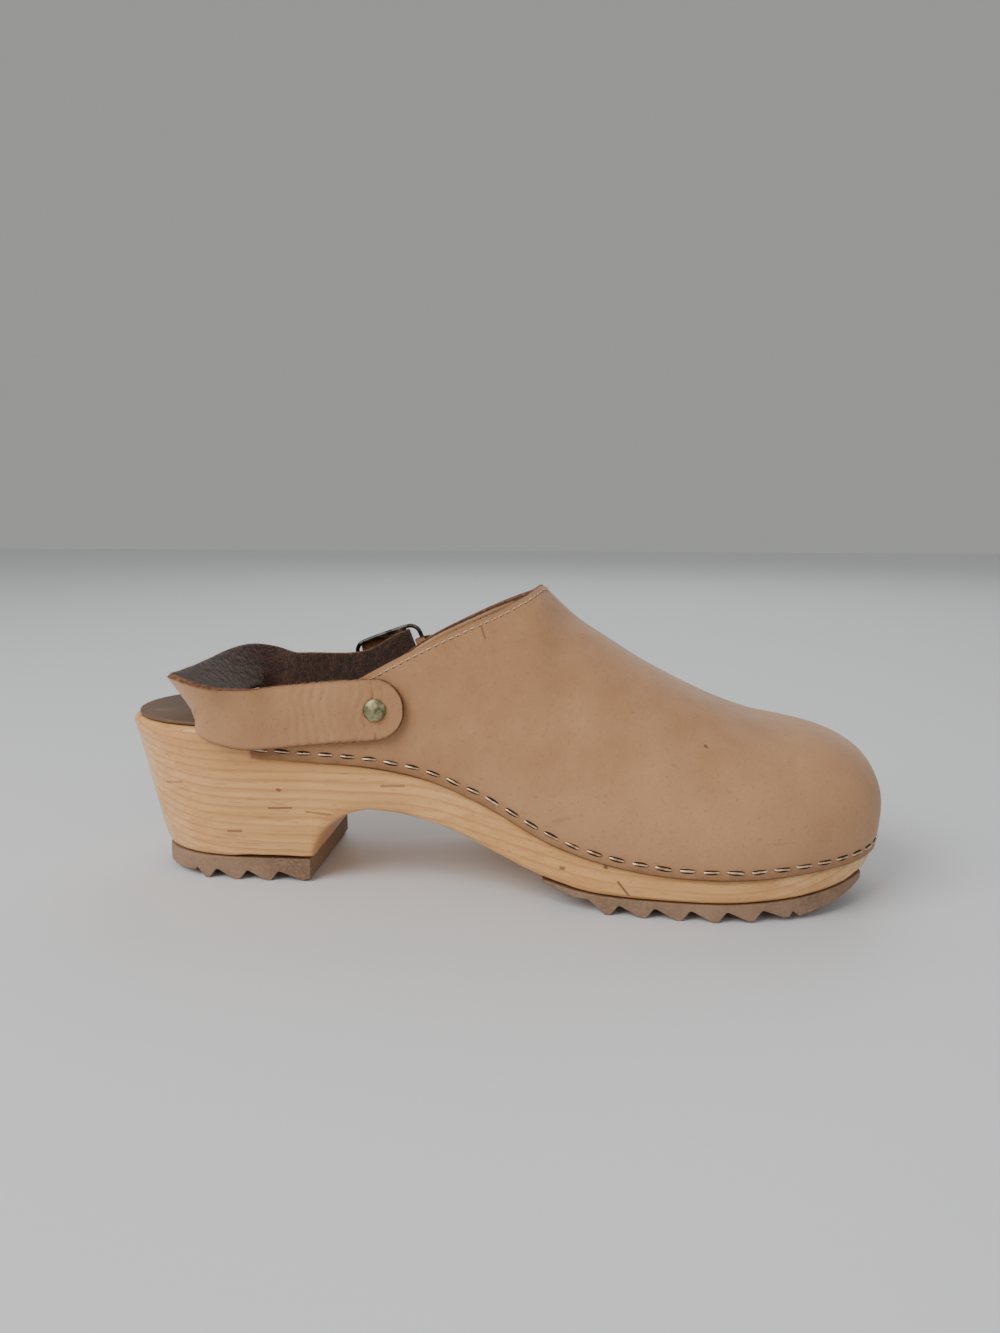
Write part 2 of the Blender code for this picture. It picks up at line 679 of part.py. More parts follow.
def collar_ribs(side):
    """(edge x, top x, top angle) from the back corner to the collar's front."""
    first, last = COLLAR_ROWS[0][0 if side == MEDIAL else 1], 90.0
    rows = []
    for i in range(COLLAR_COLUMNS + 1):
        share = i / COLLAR_COLUMNS
        angle = first + (last - first) * share ** COLLAR_LEAN
        edge = (BACK_CORNER + (PEAK_FOOT - BACK_CORNER) * share) * SOLE_LENGTH
        rows.append((edge, collar_along[side](angle), angle))
    return rows


def upper_columns(side):
    """Outer face, column by column from the back corner to just before the toe's middle."""
    columns = []
    for edge, top, angle in collar_ribs(side):
        columns.append([section_point(edge + (top - edge) * j / UPPER_ROWS, angle * j / UPPER_ROWS, side)
                        for j in range(UPPER_ROWS + 1)])
    pole = TOE_POLE * SOLE_LENGTH
    for i in range(1, VAMP_COLUMNS + 1):
        edge = PEAK_FOOT * SOLE_LENGTH + (pole - PEAK_FOOT * SOLE_LENGTH) * i / VAMP_COLUMNS
        top = PEAK * SOLE_LENGTH + (pole - PEAK * SOLE_LENGTH) * i / VAMP_COLUMNS
        columns.append([section_point(edge + (top - edge) * j / UPPER_ROWS, 90.0 * j / UPPER_ROWS, side)
                        for j in range(UPPER_ROWS + 1)])
    return columns


def toe_columns():
    """The toe's ribs, from the inner side round to the outer."""
    pole = TOE_POLE * SOLE_LENGTH
    fan = [rib for rib in RIBS if rib.edge.x > pole + 1e-9]
    return [[toe_point(rib, 90.0 * j / UPPER_ROWS) for j in range(UPPER_ROWS + 1)] for rib in fan]


def column_normals(columns):
    """Outward directions on the grid of the outer face."""
    grid = np.array([[tuple(point) for point in column] for column in columns])
    along = np.gradient(grid, axis=0)
    up = np.gradient(grid, axis=1)
    normals = np.cross(along, up)
    lengths = np.linalg.norm(normals, axis=2, keepdims=True)
    normals = normals / np.maximum(lengths, 1e-12)
    return normals


def upper_grid():
    """Outer points and outward normals, from one back corner round the toe to the other."""
    medial, lateral = upper_columns(MEDIAL), upper_columns(LATERAL)
    columns = medial + toe_columns() + lateral[::-1]
    normals = column_normals(columns)
    collar = COLLAR_COLUMNS
    count = len(columns)
    for k in range(collar, count - collar):
        mate = columns[count - 1 - k] if k < len(medial) or k >= count - len(lateral) else None
        top = Vector(normals[k][UPPER_ROWS])
        if mate is None or k == len(medial) - 1 or k == count - len(lateral):
            top = Vector((-RIDGE_SLOPE, 0, 1))
        else:
            ahead = columns[k + (1 if k < count / 2 else -1)][UPPER_ROWS]
            run = ahead - columns[k][UPPER_ROWS]
            top = Vector((-run.z, 0, run.x)) if run.x > 0 else Vector((run.z, 0, -run.x))
        normals[k][UPPER_ROWS] = top.normalized()
    return columns, normals


def upper():
    columns, normals = upper_grid()
    body = Body()
    count = len(columns)
    collar = COLLAR_COLUMNS
    outer, inner = [], []
    for k, column in enumerate(columns):
        out_ids, in_ids = [], []
        for j, point in enumerate(column):
            inside = point - Vector(normals[k][j]) * WALL
            if j == 0:
                inside.z = point.z
            if j == UPPER_ROWS and collar <= k < count - collar:
                key = round(point.x / MM, 3)
                out_ids.append(body.add_shared(("out", key), point))
                in_ids.append(body.add_shared(("in", key), inside))
            else:
                out_ids.append(body.add(point))
                in_ids.append(body.add(inside))
        outer.append(out_ids)
        inner.append(in_ids)
    for k in range(count - 1):
        body.strip(outer[k], outer[k + 1])
        body.strip(inner[k + 1], inner[k])
        body.face(inner[k][0], inner[k + 1][0], outer[k + 1][0], outer[k][0])
        if k < collar or k >= count - 1 - collar:
            body.face(outer[k][-1], outer[k + 1][-1], inner[k + 1][-1], inner[k][-1])
    body.strip(inner[0], outer[0])
    body.strip(outer[-1], inner[-1])
    return body.make("upper", "nubuck", 50)


def topline_facing():
    """Thin band inside the collar's edge."""
    columns, normals = upper_grid()
    count = len(columns)
    body = Body()
    rings = []
    clear = FACING_WIDTH + 2 * MM
    collar = list(range(COLLAR_COLUMNS + 1)) + list(range(count - 1 - COLLAR_COLUMNS, count))
    picked = [k for k in collar if columns[k][-1].z - rim_z(columns[k][-1].x) > clear]
    for k in picked:
        column = columns[k]
        start, end = GAP, FACING_WIDTH
        ring = []
        for depth, distance in ((WALL + GAP, start), (WALL + GAP, end),
                                (WALL + GAP + FACING, end), (WALL + GAP + FACING, start)):
            index, left = UPPER_ROWS, distance
            while index > 1 and left > (column[index - 1] - column[index]).length:
                left -= (column[index - 1] - column[index]).length
                index -= 1
            share = min(left / (column[index - 1] - column[index]).length, 1.0)
            point = column[index].lerp(column[index - 1], share)
            normal = Vector(normals[k][index]).lerp(Vector(normals[k][index - 1]), share).normalized()
            ring.append(body.add(point - normal * depth))
        rings.append(ring)
    for left, right in zip(rings, rings[1:]):
        body.strip(left + left[:1], right + right[:1])
    body.faces.append(rings[0][::-1])
    body.faces.append(rings[-1])
    return body.make("topline_facing", "facing")


# Straps

def path_points(rows, steps):
    """Smooth path through rows of equal length, with steps samples between rows."""
    rows = np.array(rows, float)
    samples = []
    for i in range(len(rows) - 1):
        before, after = rows[max(i - 1, 0)], rows[min(i + 2, len(rows) - 1)]
        a, b = rows[i], rows[i + 1]
        for s in range(steps):
            t = s / steps
            samples.append(0.5 * (2 * a + (b - before) * t + (2 * before - 5 * a + 4 * b - after) * t * t
                                  + (3 * a - before - 3 * b + after) * t ** 3))
    samples.append(rows[-1])
    return np.array(samples)


def strap_place(row):
    """Row of the strap's table as x, y, z, lean, tilt."""
    along, out, up, lean, tilt = row
    return (along * SOLE_LENGTH, out * HEEL_WIDTH / 2, HEEL_HEIGHT + up * STRAP_WIDTH, lean, tilt)


def ribbon(body, stations, width_of, thickness, seat=None):
    """Band along stations of (x, y, z, lean, tilt), three points across. seat(i) names the side of
    the upper that a station lies on, if any."""
    centres = [Vector(row[:3]) for row in stations]
    rings = []
    for i, row in enumerate(stations):
        ahead = (centres[min(i + 1, len(centres) - 1)] - centres[max(i - 1, 0)]).normalized()
        outward = Vector((-ahead.y, ahead.x, 0)).normalized()
        lean, tilt = radians(row[3]), radians(row[4])
        upright = Vector((-sin(tilt), 0, cos(tilt)))
        across = upright * cos(lean) + outward * sin(lean)
        across = (across - ahead * across.dot(ahead)).normalized()
        face = ahead.cross(across).normalized()
        half = width_of(i) / 2
        ring = []
        for level in (1, -1):
            for share in ((-1, 0, 1) if level > 0 else (1, 0, -1)):
                point = centres[i] + across * half * share
                if seat and seat(i):
                    side = seat(i)
                    normal = upper_normal(point.x, point.z, side)
                    base = Vector((point.x, upper_y(point.x, point.z, side), point.z))
                    outer = thickness if normal.dot(face) * level > 0 else 0.0
                    ring.append(body.add(base + normal * (GAP + outer)))
                else:
                    ring.append(body.add(point + face * level * thickness / 2))
        rings.append(ring)
    for left, right in zip(rings, rings[1:]):
        body.strip(left + left[:1], right + right[:1])
    body.strip([rings[0][0], rings[0][1], rings[0][2]], [rings[0][5], rings[0][4], rings[0][3]])
    body.strip([rings[-1][5], rings[-1][4], rings[-1][3]], [rings[-1][0], rings[-1][1], rings[-1][2]])
    return rings


def buckle_middle():
    return Vector((BUCKLE_ALONG * SOLE_LENGTH, BUCKLE_OUT * HEEL_WIDTH / 2,
                   HEEL_HEIGHT + BUCKLE_UP * STRAP_WIDTH))


def buckle_axes():
    slope = radians(BUCKLE_SLOPE)
    return Vector((cos(slope), 0, sin(slope))), Vector((-sin(slope), 0, cos(slope)))


def fold_bar_middle():
    forward, across = buckle_axes()
    return buckle_middle() + forward * (BUCKLE_LENGTH / 2 - BUCKLE_WIRE - FOLD_BAR_SETBACK)


def strap_stations():
    """Middle line of the strap with its fold round the bar and its tail."""
    rows = [strap_place(row) for row in STRAP_ROWS]
    bar = fold_bar_middle() + Vector((0, 0, TAIL_RISE * STRAP_WIDTH))
    radius = BUCKLE_WIRE + GAP + STRAP / 2
    forward, across = buckle_axes()
    for turn in (-90, -45, 0, 45, 90):
        place = bar + forward * radius * cos(radians(turn)) + Vector((0, radius * sin(radians(turn)), 0))
        rows.append((*place, 0, BUCKLE_SLOPE))
    place = Vector(rows[-1][:3])
    for share in (0.33, 0.67, 1.0):
        slope = BUCKLE_SLOPE + (TAIL_SLOPE - BUCKLE_SLOPE) * share
        place = place - Vector((cos(radians(slope)), 0, sin(radians(slope)))) * TAIL_LENGTH / 3
        rows.append((*place, 0, slope))
    return rows


def heel_strap():
    stations = path_points(strap_stations(), 2)
    rivet = strap_place(STRAP_ROWS[RIVET_ROW])
    reach = STRAP_WIDTH / 2
    # Round the end past the rivet
    kept = [row for row in stations if row[0] < rivet[0] or row[1] > 0]
    first = kept[0]
    end = []
    rise = (rivet[2] - first[2]) / max(rivet[0] - first[0], MM)
    for share in STRAP_END_SHARES:
        place = (rivet[0] + reach * STRAP_END_REACH * share, rivet[1], rivet[2] + rise * reach * share)
        end.append((*place, 0, 0))
    stations = end + [tuple(row) for row in kept]
    widths = [STRAP_WIDTH * sqrt(1 - share ** 2) for share in STRAP_END_SHARES]
    widths += [strap_width(row[0]) for row in stations[len(widths):]]

    def seat(i):
        x, y = stations[i][0], stations[i][1]
        return MEDIAL if y < 0 and x > STRAP_SEAT_END * SOLE_LENGTH else None

    body = Body()
    ribbon(body, stations, lambda i: widths[i], STRAP, seat)
    return body.make("heel_strap", "nubuck", 50)


# Rivets, tab and buckle

def turned(body, origin, axis, profile, steps=14):
    """Closed turned body. Profile: (distance along the axis, radius), starting and ending at 0."""
    axis = axis.normalized()
    side = axis.orthogonal().normalized()
    other = axis.cross(side)
    rings = []
    for height, radius in profile:
        centre = origin + axis * height
        if radius == 0:
            point = body.add(centre)
            rings.append([point] * steps)
        else:
            rings.append([body.add(centre + (side * cos(2 * pi * i / steps)
                                             + other * sin(2 * pi * i / steps)) * radius)
                          for i in range(steps)])
    for low, high in zip(rings, rings[1:]):
        body.strip(low + low[:1], high + high[:1])


def tube(body, path, radius, sides=8, closed=False):
    """Round bar along a path."""
    path = [Vector(point) for point in path]
    count = len(path)
    rings = []
    across = None
    for i, point in enumerate(path):
        before = path[i - 1] if i or closed else path[0]
        after = path[(i + 1) % count] if i < count - 1 or closed else path[-1]
        ahead = (after - before).normalized()
        if across is None:
            across = ahead.orthogonal().normalized()
        across = (across - ahead * across.dot(ahead)).normalized()
        other = ahead.cross(across)
        rings.append([body.add(point + (across * cos(2 * pi * k / sides)
                                        + other * sin(2 * pi * k / sides)) * radius)
                      for k in range(sides)])
    if closed:
        rings.append(rings[0])
    for low, high in zip(rings, rings[1:]):
        body.strip(low + low[:1], high + high[:1])
    if not closed:
        body.faces.append(rings[0][::-1])
        body.faces.append(rings[-1])


def arc(centre, forward, across, start, end, radius, steps):
    return [centre + (forward * cos(radians(a)) + across * sin(radians(a))) * radius
            for a in np.linspace(start, end, steps)]


def shank_hole(name, base, normal, outer):
    body = Body()
    reach = outer + WALL + 3 * MM
    turned(body, base + normal * (outer + 1 * MM), -normal,
           [(0, 0), (0, RIVET_SHANK + GAP), (reach, RIVET_SHANK + GAP), (reach, 0)], 10)
    return cutter(name, body)


def rivet(name, base, normal, outer):
    """Rivet through what lies on the upper. Base is on the upper's outer face."""
    body = Body()
    top = outer + GAP
    profile = [(top + RIVET_DOME, 0), (top + RIVET_DOME * 0.93, RIVET_CAP * 0.42),
               (top + RIVET_DOME * 0.68, RIVET_CAP * 0.76), (top + RIVET_DOME * 0.30, RIVET_CAP * 0.96),
               (top + 0.1 * MM, RIVET_CAP), (top, RIVET_CAP * 0.94), (top, RIVET_SHANK)]
    under = -WALL - GAP
    profile += [(under, RIVET_SHANK), (under, RIVET_WASHER),
                (under - RIVET_WASHER_THICKNESS, RIVET_WASHER * 0.85), (under - RIVET_WASHER_THICKNESS, 0)]
    turned(body, base, normal, profile)
    return body.make(name, "antique_brass")


def rivet_place(x, z, side):
    return Vector((x, upper_y(x, z, side), z)), upper_normal(x, z, side)


def medial_rivet_place():
    row = strap_place(STRAP_ROWS[RIVET_ROW])
    return rivet_place(row[0], row[2], MEDIAL)


def lateral_rivet_place():
    x = RIVET_LATERAL_ALONG * SOLE_LENGTH
    return rivet_place(x, rim_z(x) + RIVET_LATERAL_UP * STRAP_WIDTH, LATERAL)


def buckle_frame():
    """Rounded rectangle of wire with a bar across it that the strap turns round."""
    middle_point = buckle_middle()
    forward, across = buckle_axes()
    half_length = BUCKLE_LENGTH / 2 - BUCKLE_WIRE
    half_height = BUCKLE_HEIGHT / 2 - BUCKLE_WIRE
    path = []
    for sx, sz, start in ((1, 1, 0), (-1, 1, 90), (-1, -1, 180), (1, -1, 270)):
        corner = (middle_point + forward * sx * (half_length - BUCKLE_CORNER)
                  + across * sz * (half_height - BUCKLE_CORNER))
        path += arc(corner, forward, across, start, start + 90, BUCKLE_CORNER, 4)
    body = Body()
    tube(body, path, BUCKLE_WIRE, closed=True)
    frame = body.make("buckle_frame", "gunmetal", 60)
    bar = Body()
    middle_bar = fold_bar_middle()
    tube(bar, [middle_bar - across * half_height, middle_bar + across * half_height], BUCKLE_WIRE)
    cut(frame, cutter("fold_bar", bar), "UNION")
    return frame


def prong_path():
    """Middle line of the prong: round the fold bar, along the outside of the tail, through its hole."""
    forward, across = buckle_axes()
    bar = fold_bar_middle()
    outward = Vector((0, 1, 0))
    ring = BUCKLE_WIRE + GAP / 2 + PRONG_WIRE
    path = arc(bar, forward, outward, -200, 60, ring, 11)
    tail = STRAP + BUCKLE_WIRE + 2 * GAP + GAP + PRONG_WIRE
    back_bar = buckle_middle() - forward * (BUCKLE_LENGTH / 2 - BUCKLE_WIRE)
    path.append(bar - forward * 3 * MM + outward * tail)
    hole = prong_hole_place()
    path.append(hole + outward * (tail - 0.3 * MM) + forward * 2 * MM)
    path.append(hole + outward * (tail - 1.6 * MM) + forward * 0.3 * MM)
    path.append(hole + outward * (BUCKLE_WIRE + PRONG_WIRE + GAP) * 1.05 - forward * 0.4 * MM)
    path.append(back_bar + outward * (BUCKLE_WIRE + GAP + PRONG_WIRE) - forward * 0.6 * MM)
    return path


def buckle_prong():
    body = Body()
    tube(body, prong_path(), PRONG_WIRE, 7)
    return body.make("buckle_prong", "gunmetal", 60)


def prong_slot():
    """Clearance for the prong through the strap's fold and tail."""
    body = Body()
    tube(body, prong_path(), PRONG_WIRE + GAP, 7)
    return cutter("prong_slot", body)


def prong_hole_place():
    """On the buckle's middle plane, where the prong goes through the tail."""
    forward, across = buckle_axes()
    return fold_bar_middle() - forward * PRONG_HOLE_SETBACK


def strap_tab():
    """Short strap from the outer rivet round the buckle's front bar."""
    forward, across = buckle_axes()
    bar = buckle_middle() + forward * (BUCKLE_LENGTH / 2 - BUCKLE_WIRE)
    base, normal = lateral_rivet_place()
    outward = Vector((0, 1, 0))
    radius = BUCKLE_WIRE + 2 * GAP + TAB / 2
    seat = base + normal * (GAP + TAB / 2)
    run = Vector((seat.x - bar.x, 0, seat.z - bar.z)).normalized()
    rows = []
    reach = TAB_WIDTH / 2
    tilt = degrees(atan2(run.z, run.x))
    round_end = (0.97, 0.8, 0.45, 0.0)
    for share in round_end + (-(RIVET_CAP + GAP) / reach,):
        place = seat + run * reach * share
        rows.append((place.x, place.y, place.z, 0, tilt))
    seated = len(rows)
    turn = arc(bar, forward, outward, 60, 300, radius, 7)
    for share in (0.3, 0.6):
        place = Vector(rows[seated - 1][:3]).lerp(turn[0], share) + outward * TAB_BOW
        rows.append((*place, 0, tilt + (BUCKLE_SLOPE - tilt) * share))
    rows += [(*place, 0, BUCKLE_SLOPE) for place in turn]
    widths = [TAB_WIDTH * sqrt(1 - share ** 2) for share in round_end]
    widths += [TAB_WIDTH] * (len(rows) - len(widths))

    def tab_seat(i):
        return LATERAL if i < seated else None

    body = Body()
    ribbon(body, rows, lambda i: widths[i], TAB, tab_seat)
    return body.make("strap_tab", "nubuck", 50)


# Build

def build():
    for old in list(bpy.data.objects):
        bpy.data.objects.remove(old, do_unlink=True)
    shell, strap, tab = upper(), heel_strap(), strap_tab()
    pieces = [wood_sole(), insole(), heel_tread(), forefoot_tread(), shell, topline_facing(), strap, tab]
    for name, place, layer, band in (("rivet_medial", medial_rivet_place(), STRAP + GAP, strap),
                                     ("rivet_lateral", lateral_rivet_place(), TAB + GAP, tab)):
        base, normal = place
        pieces.append(rivet(name, base, normal, layer))
        hole = shank_hole(name + "_hole", base, normal, layer)
        cut(shell, hole)
        cut(band, hole)
    cut(strap, prong_slot())
    pieces.append(buckle_frame())
    pieces.append(buckle_prong())
    origin = bpy.data.objects.new("origin", None)
    bpy.context.scene.collection.objects.link(origin)
    corners = [piece.matrix_world @ Vector(corner) for piece in pieces for corner in piece.bound_box]
    low = [min(corner[i] for corner in corners) for i in range(3)]
    high = [max(corner[i] for corner in corners) for i in range(3)]
    for made in list(bpy.context.scene.collection.objects):
        if made is not origin:
            made.parent = origin
    origin.location = (-(low[0] + high[0]) / 2, -(low[1] + high[1]) / 2, -low[2])
    return pieces


build()
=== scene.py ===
import math

import bmesh
import bpy
import numpy as np
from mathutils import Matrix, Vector, kdtree, noise
from mathutils.bvhtree import BVHTree


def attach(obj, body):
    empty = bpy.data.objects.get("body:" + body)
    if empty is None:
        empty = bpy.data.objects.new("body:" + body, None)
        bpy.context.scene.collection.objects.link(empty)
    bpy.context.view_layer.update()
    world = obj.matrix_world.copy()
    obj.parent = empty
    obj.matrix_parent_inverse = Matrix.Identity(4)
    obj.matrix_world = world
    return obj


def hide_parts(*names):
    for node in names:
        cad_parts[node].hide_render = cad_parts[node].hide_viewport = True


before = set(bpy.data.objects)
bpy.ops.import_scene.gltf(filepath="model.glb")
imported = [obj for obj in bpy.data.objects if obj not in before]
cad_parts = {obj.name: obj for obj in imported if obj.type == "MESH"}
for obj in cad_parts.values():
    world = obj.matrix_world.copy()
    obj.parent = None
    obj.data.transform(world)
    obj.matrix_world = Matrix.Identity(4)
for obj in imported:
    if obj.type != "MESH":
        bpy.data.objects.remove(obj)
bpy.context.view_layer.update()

mm = 0.001
smooth = 3  # subdivision of the big leather pieces
grainSlot, fleshSlot, edgeSlot = 0, 1, 2  # of the leather pieces


def lowCorner(node):
    return Vector([min(v.co[i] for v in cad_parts[node].data.vertices) for i in range(3)])


# The places written below are in a frame that has the wooden sole's low corner here
drawnCorner = Vector((-133.5, -47.7, 0.0)) * mm
drawnShift = lowCorner("wood_sole") - drawnCorner
drawnShift.z = 0


def place(x, y, z):  # millimetres in that frame
    return Vector((x, y, z)) * mm + drawnShift


def rgb(red, green, blue):  # screen colour to the shader's linear one
    def linear(c):
        c = c / 255
        return c / 12.92 if c <= 0.04045 else ((c + 0.055) / 1.055) ** 2.4
    return (linear(red), linear(green), linear(blue), 1.0)


# Shader maths

class Value:
    def __init__(self, paint, link):
        self.paint = paint
        self.link = link

    def combine(self, operation, left, right):
        return self.paint.node("ShaderNodeMath", {"operation": operation}, {0: left, 1: right})

    def __add__(self, other):
        return self.combine("ADD", self, other)

    __radd__ = __add__

    def __mul__(self, other):
        return self.combine("MULTIPLY", self, other)

    __rmul__ = __mul__

    def __sub__(self, other):
        return self.combine("SUBTRACT", self, other)

    def __rsub__(self, other):
        return self.combine("SUBTRACT", other, self)

    def __truediv__(self, other):
        return self.combine("DIVIDE", self, other)

    def __pow__(self, other):
        return self.combine("POWER", self, other)


class Paint:  # one material under construction
    def __init__(self, name, colour, roughness, metallic=0.0, **fixed):
        self.material = bpy.data.materials.new(name)
        self.material.use_nodes = True
        self.tree = self.material.node_tree
        self.shader = self.tree.nodes["Principled BSDF"]
        self.shader.inputs["Base Color"].default_value = colour
        self.shader.inputs["Roughness"].default_value = roughness
        self.shader.inputs["Metallic"].default_value = metallic
        for socket, value in fixed.items():
            self.shader.inputs[socket.replace("_", " ")].default_value = value
        self.coords = self.node("ShaderNodeTexCoord", out="Object")

    def node(self, kind, settings=None, values=None, out=0):
        made = self.tree.nodes.new(kind)
        for key, value in (settings or {}).items():
            setattr(made, key, value)
        for socket, value in (values or {}).items():
            if isinstance(value, Value):
                self.tree.links.new(value.link, made.inputs[socket])
            else:
                made.inputs[socket].default_value = value
        return Value(self, made.outputs[out])

    def set(self, socket, value):
        self.tree.links.new(value.link, self.shader.inputs[socket])

    def noise(self, scale, detail=3.0, rough=0.5, stretch=(1, 1, 1), shift=(0, 0, 0)):
        where = self.node("ShaderNodeMapping", None,
                          {"Vector": self.coords, "Scale": stretch, "Location": shift})
        return self.node("ShaderNodeTexNoise", None,
                         {"Vector": where, "Scale": scale, "Detail": detail, "Roughness": rough})

    def between(self, value, low, high, start=0.0, end=1.0):
        return self.node("ShaderNodeMapRange", {"interpolation_type": "SMOOTHSTEP"},
                         {0: value, 1: low, 2: high, 3: start, 4: end})

    def mix(self, factor, first, second, blend="MIX"):
        return self.node("ShaderNodeMix", {"data_type": "RGBA", "blend_type": blend},
                         {0: factor, 6: first, 7: second}, out=2)

    def attribute(self, name):
        return self.node("ShaderNodeAttribute", {"attribute_name": name}, None, out="Fac")

    def line(self, start, end, width):  # 1 on a short line, 0 at width from it
        run = end - start
        away = self.node("ShaderNodeVectorMath", {"operation": "SUBTRACT"}, {0: self.coords, 1: start})
        along = self.node("ShaderNodeVectorMath", {"operation": "DOT_PRODUCT"},
                          {0: away, 1: run / max(run.length_squared, 1e-12)}, out="Value")
        along = self.node("ShaderNodeClamp", None, {0: along})
        foot = self.node("ShaderNodeVectorMath", {"operation": "SCALE"}, {0: run, "Scale": along})
        rest = self.node("ShaderNodeVectorMath", {"operation": "SUBTRACT"}, {0: away, 1: foot})
        distance = self.node("ShaderNodeVectorMath", {"operation": "LENGTH"}, {0: rest}, out="Value")
        return self.between(distance, 0.35 * width, width, 1.0, 0.0)

    def bump(self, height, distance, strength=1.0):
        self.set("Normal", self.node("ShaderNodeBump", None,
                                     {"Height": height, "Distance": distance, "Strength": strength}))


# Materials

nubuck = {
    "light": rgb(196, 152, 112), "mid": rgb(178, 133, 95), "dark": rgb(152, 108, 74),
    "edge": rgb(112, 76, 50), "markAndCreaseShade": rgb(96, 64, 44),
    "cloudScale": 17, "mottleScale": 120, "grainScale": 1500, "grainDepth": 0.16 * mm,
    "marksAndCreaseShade": [  # start, end, width, strength
        ((-4.1, -23.6, 90.4), (-2.6, -25.7, 86.4), 0.5, 0.55),
        ((68.2, -35.8, 54.4), (68.6, -36.0, 54.0), 0.9, 0.8),
        ((82.1, -43.2, 43.5), (82.4, -43.3, 43.2), 0.8, 0.7),
        ((88.8, -48.9, 27.4), (97.2, -46.8, 27.6), 0.6, 0.2),
        ((20.9, -42.9, 30.4), (26.0, -44.2, 32.3), 1.0, 0.15),
        # painted shade: a dark line along the first fold's crease trough
        ((102.5, -8.9, 54.5), (96.2, -33.8, 47.9), 0.8, 0.15),
    ],
}


def nubuckPaint(name="nubuck", marked=True):
    s = nubuck
    paint = Paint(name, s["mid"], 0.85, Sheen_Weight=0.22, Sheen_Roughness=0.45, Specular_IOR_Level=0.3)
    cloud = paint.between(paint.noise(s["cloudScale"], 3, 0.55), 0.3, 0.7)
    mottle = paint.between(paint.noise(s["mottleScale"], 5, 0.65, shift=(3, 1, 2)), 0.3, 0.72)
    grain = paint.noise(s["grainScale"], 3, 0.6)
    pores = paint.between(paint.noise(s["grainScale"] * 0.45, 2, 0.5, shift=(5, 5, 1)), 0.62, 0.72)
    colour = paint.mix(cloud, s["dark"], s["light"])
    colour = paint.mix(0.55, colour, s["mid"])
    colour = paint.mix(mottle * 0.28, colour, s["light"])
    colour = paint.mix(paint.between(grain, 0.35, 0.75) * 0.16, colour, s["dark"])
    colour = paint.mix(pores * 0.22, colour, s["dark"])
    # painted shade along the upper's lower margin and collar top (the upper's edge attribute); on the
    # straps the same attribute darkens the grain at the cut edges
    edge = paint.attribute("edge")
    colour = paint.mix(edge * (0.35 + 0.4 * mottle), colour, s["edge"])
    if marked:
        # dark marks on the leather, and painted shade along one crease
        for start, end, width, strength in s["marksAndCreaseShade"]:
            markAndCreaseShade = paint.line(place(*start), place(*end), width * mm)
            colour = paint.mix(markAndCreaseShade * strength, colour, s["markAndCreaseShade"])
    paint.set("Base Color", colour)
    paint.set("Roughness", 0.92 - 0.12 * mottle)
    paint.bump(grain * 0.5 + mottle * 0.6 - pores * 0.5, s["grainDepth"])
    return paint.material


suede = {"dark": rgb(46, 24, 13), "mid": rgb(76, 44, 25), "fibre": rgb(142, 98, 62), "depth": 0.5 * mm,
         "clumpScale": 420, "napScale": 1300, "lightShare": 0.55}


def suedePaint():
    s = suede
    paint = Paint("suede", s["mid"], 0.95, Sheen_Weight=0.35, Sheen_Roughness=0.5)
    clumps = paint.between(paint.noise(s["clumpScale"], 4, 0.7), 0.35, 0.68)
    nap = paint.noise(s["napScale"], 3, 0.7)
    colour = paint.mix(clumps, s["dark"], s["mid"])
    colour = paint.mix(paint.between(nap, 0.56, 0.74) * s["lightShare"], colour, s["fibre"])
    paint.set("Base Color", colour)
    paint.bump(clumps + nap, s["depth"])
    return paint.material


cutEdge = {"dark": rgb(84, 52, 32), "light": rgb(142, 100, 68), "layerScale": 700, "depth": 0.3 * mm}


def cutEdgePaint():
    s = cutEdge
    paint = Paint("cutEdge", s["dark"], 0.9)
    layers = paint.noise(s["layerScale"], 4, 0.7)
    paint.set("Base Color", paint.mix(paint.between(layers, 0.35, 0.7), s["dark"], s["light"]))
    paint.bump(layers, s["depth"])
    return paint.material


wood = {
    "light": rgb(238, 190, 128), "mid": rgb(224, 168, 102), "dark": rgb(190, 126, 66),
    "pore": rgb(150, 96, 54), "fleck": rgb(116, 70, 38), "leatherEdgeShade": rgb(136, 92, 56),
    "pith": (25, -75),  # y and z of the tree's middle, under the far side
    "ring": 2.9, "ringWave": 5.0,
    "along": {  # noise scales along and across the grain
        "streak": (14, 420, 420), "broad": (9, 45, 45),
        "pores": (110, 1900, 1900), "rays": (60, 900, 330),
    },
    "grainDepth": 0.05 * mm,
    "flecks": [  # start, end, width, strength
        ((-76.4, -28.7, 27.4), (-68.7, -28.6, 27.6), 0.6, 0.7),
        ((-63.6, -28.2, 26.3), (-55.2, -28.8, 25.7), 0.6, 0.6),
        ((-91.5, -27.8, 18.4), (-86.9, -27.8, 18.6), 0.7, 0.7),
        ((-72.9, -29.4, 34.1), (-72.3, -29.4, 34.0), 0.9, 0.8),
        ((-114.1, -23.9, 34.1), (-107.3, -27.2, 35.3), 0.6, 0.5),
        ((-37.1, -30.1, 36.7), (-29.3, -30.5, 37.1), 0.6, 0.6),
        ((37.5, -44.6, 16.7), (37.9, -44.7, 16.5), 0.8, 0.9),
        ((23.5, -41.6, 14.7), (24.2, -41.8, 14.6), 0.9, 0.8),
        ((41.6, -45.0, 12.1), (45.2, -45.1, 7.6), 0.5, 0.9),
    ],
}


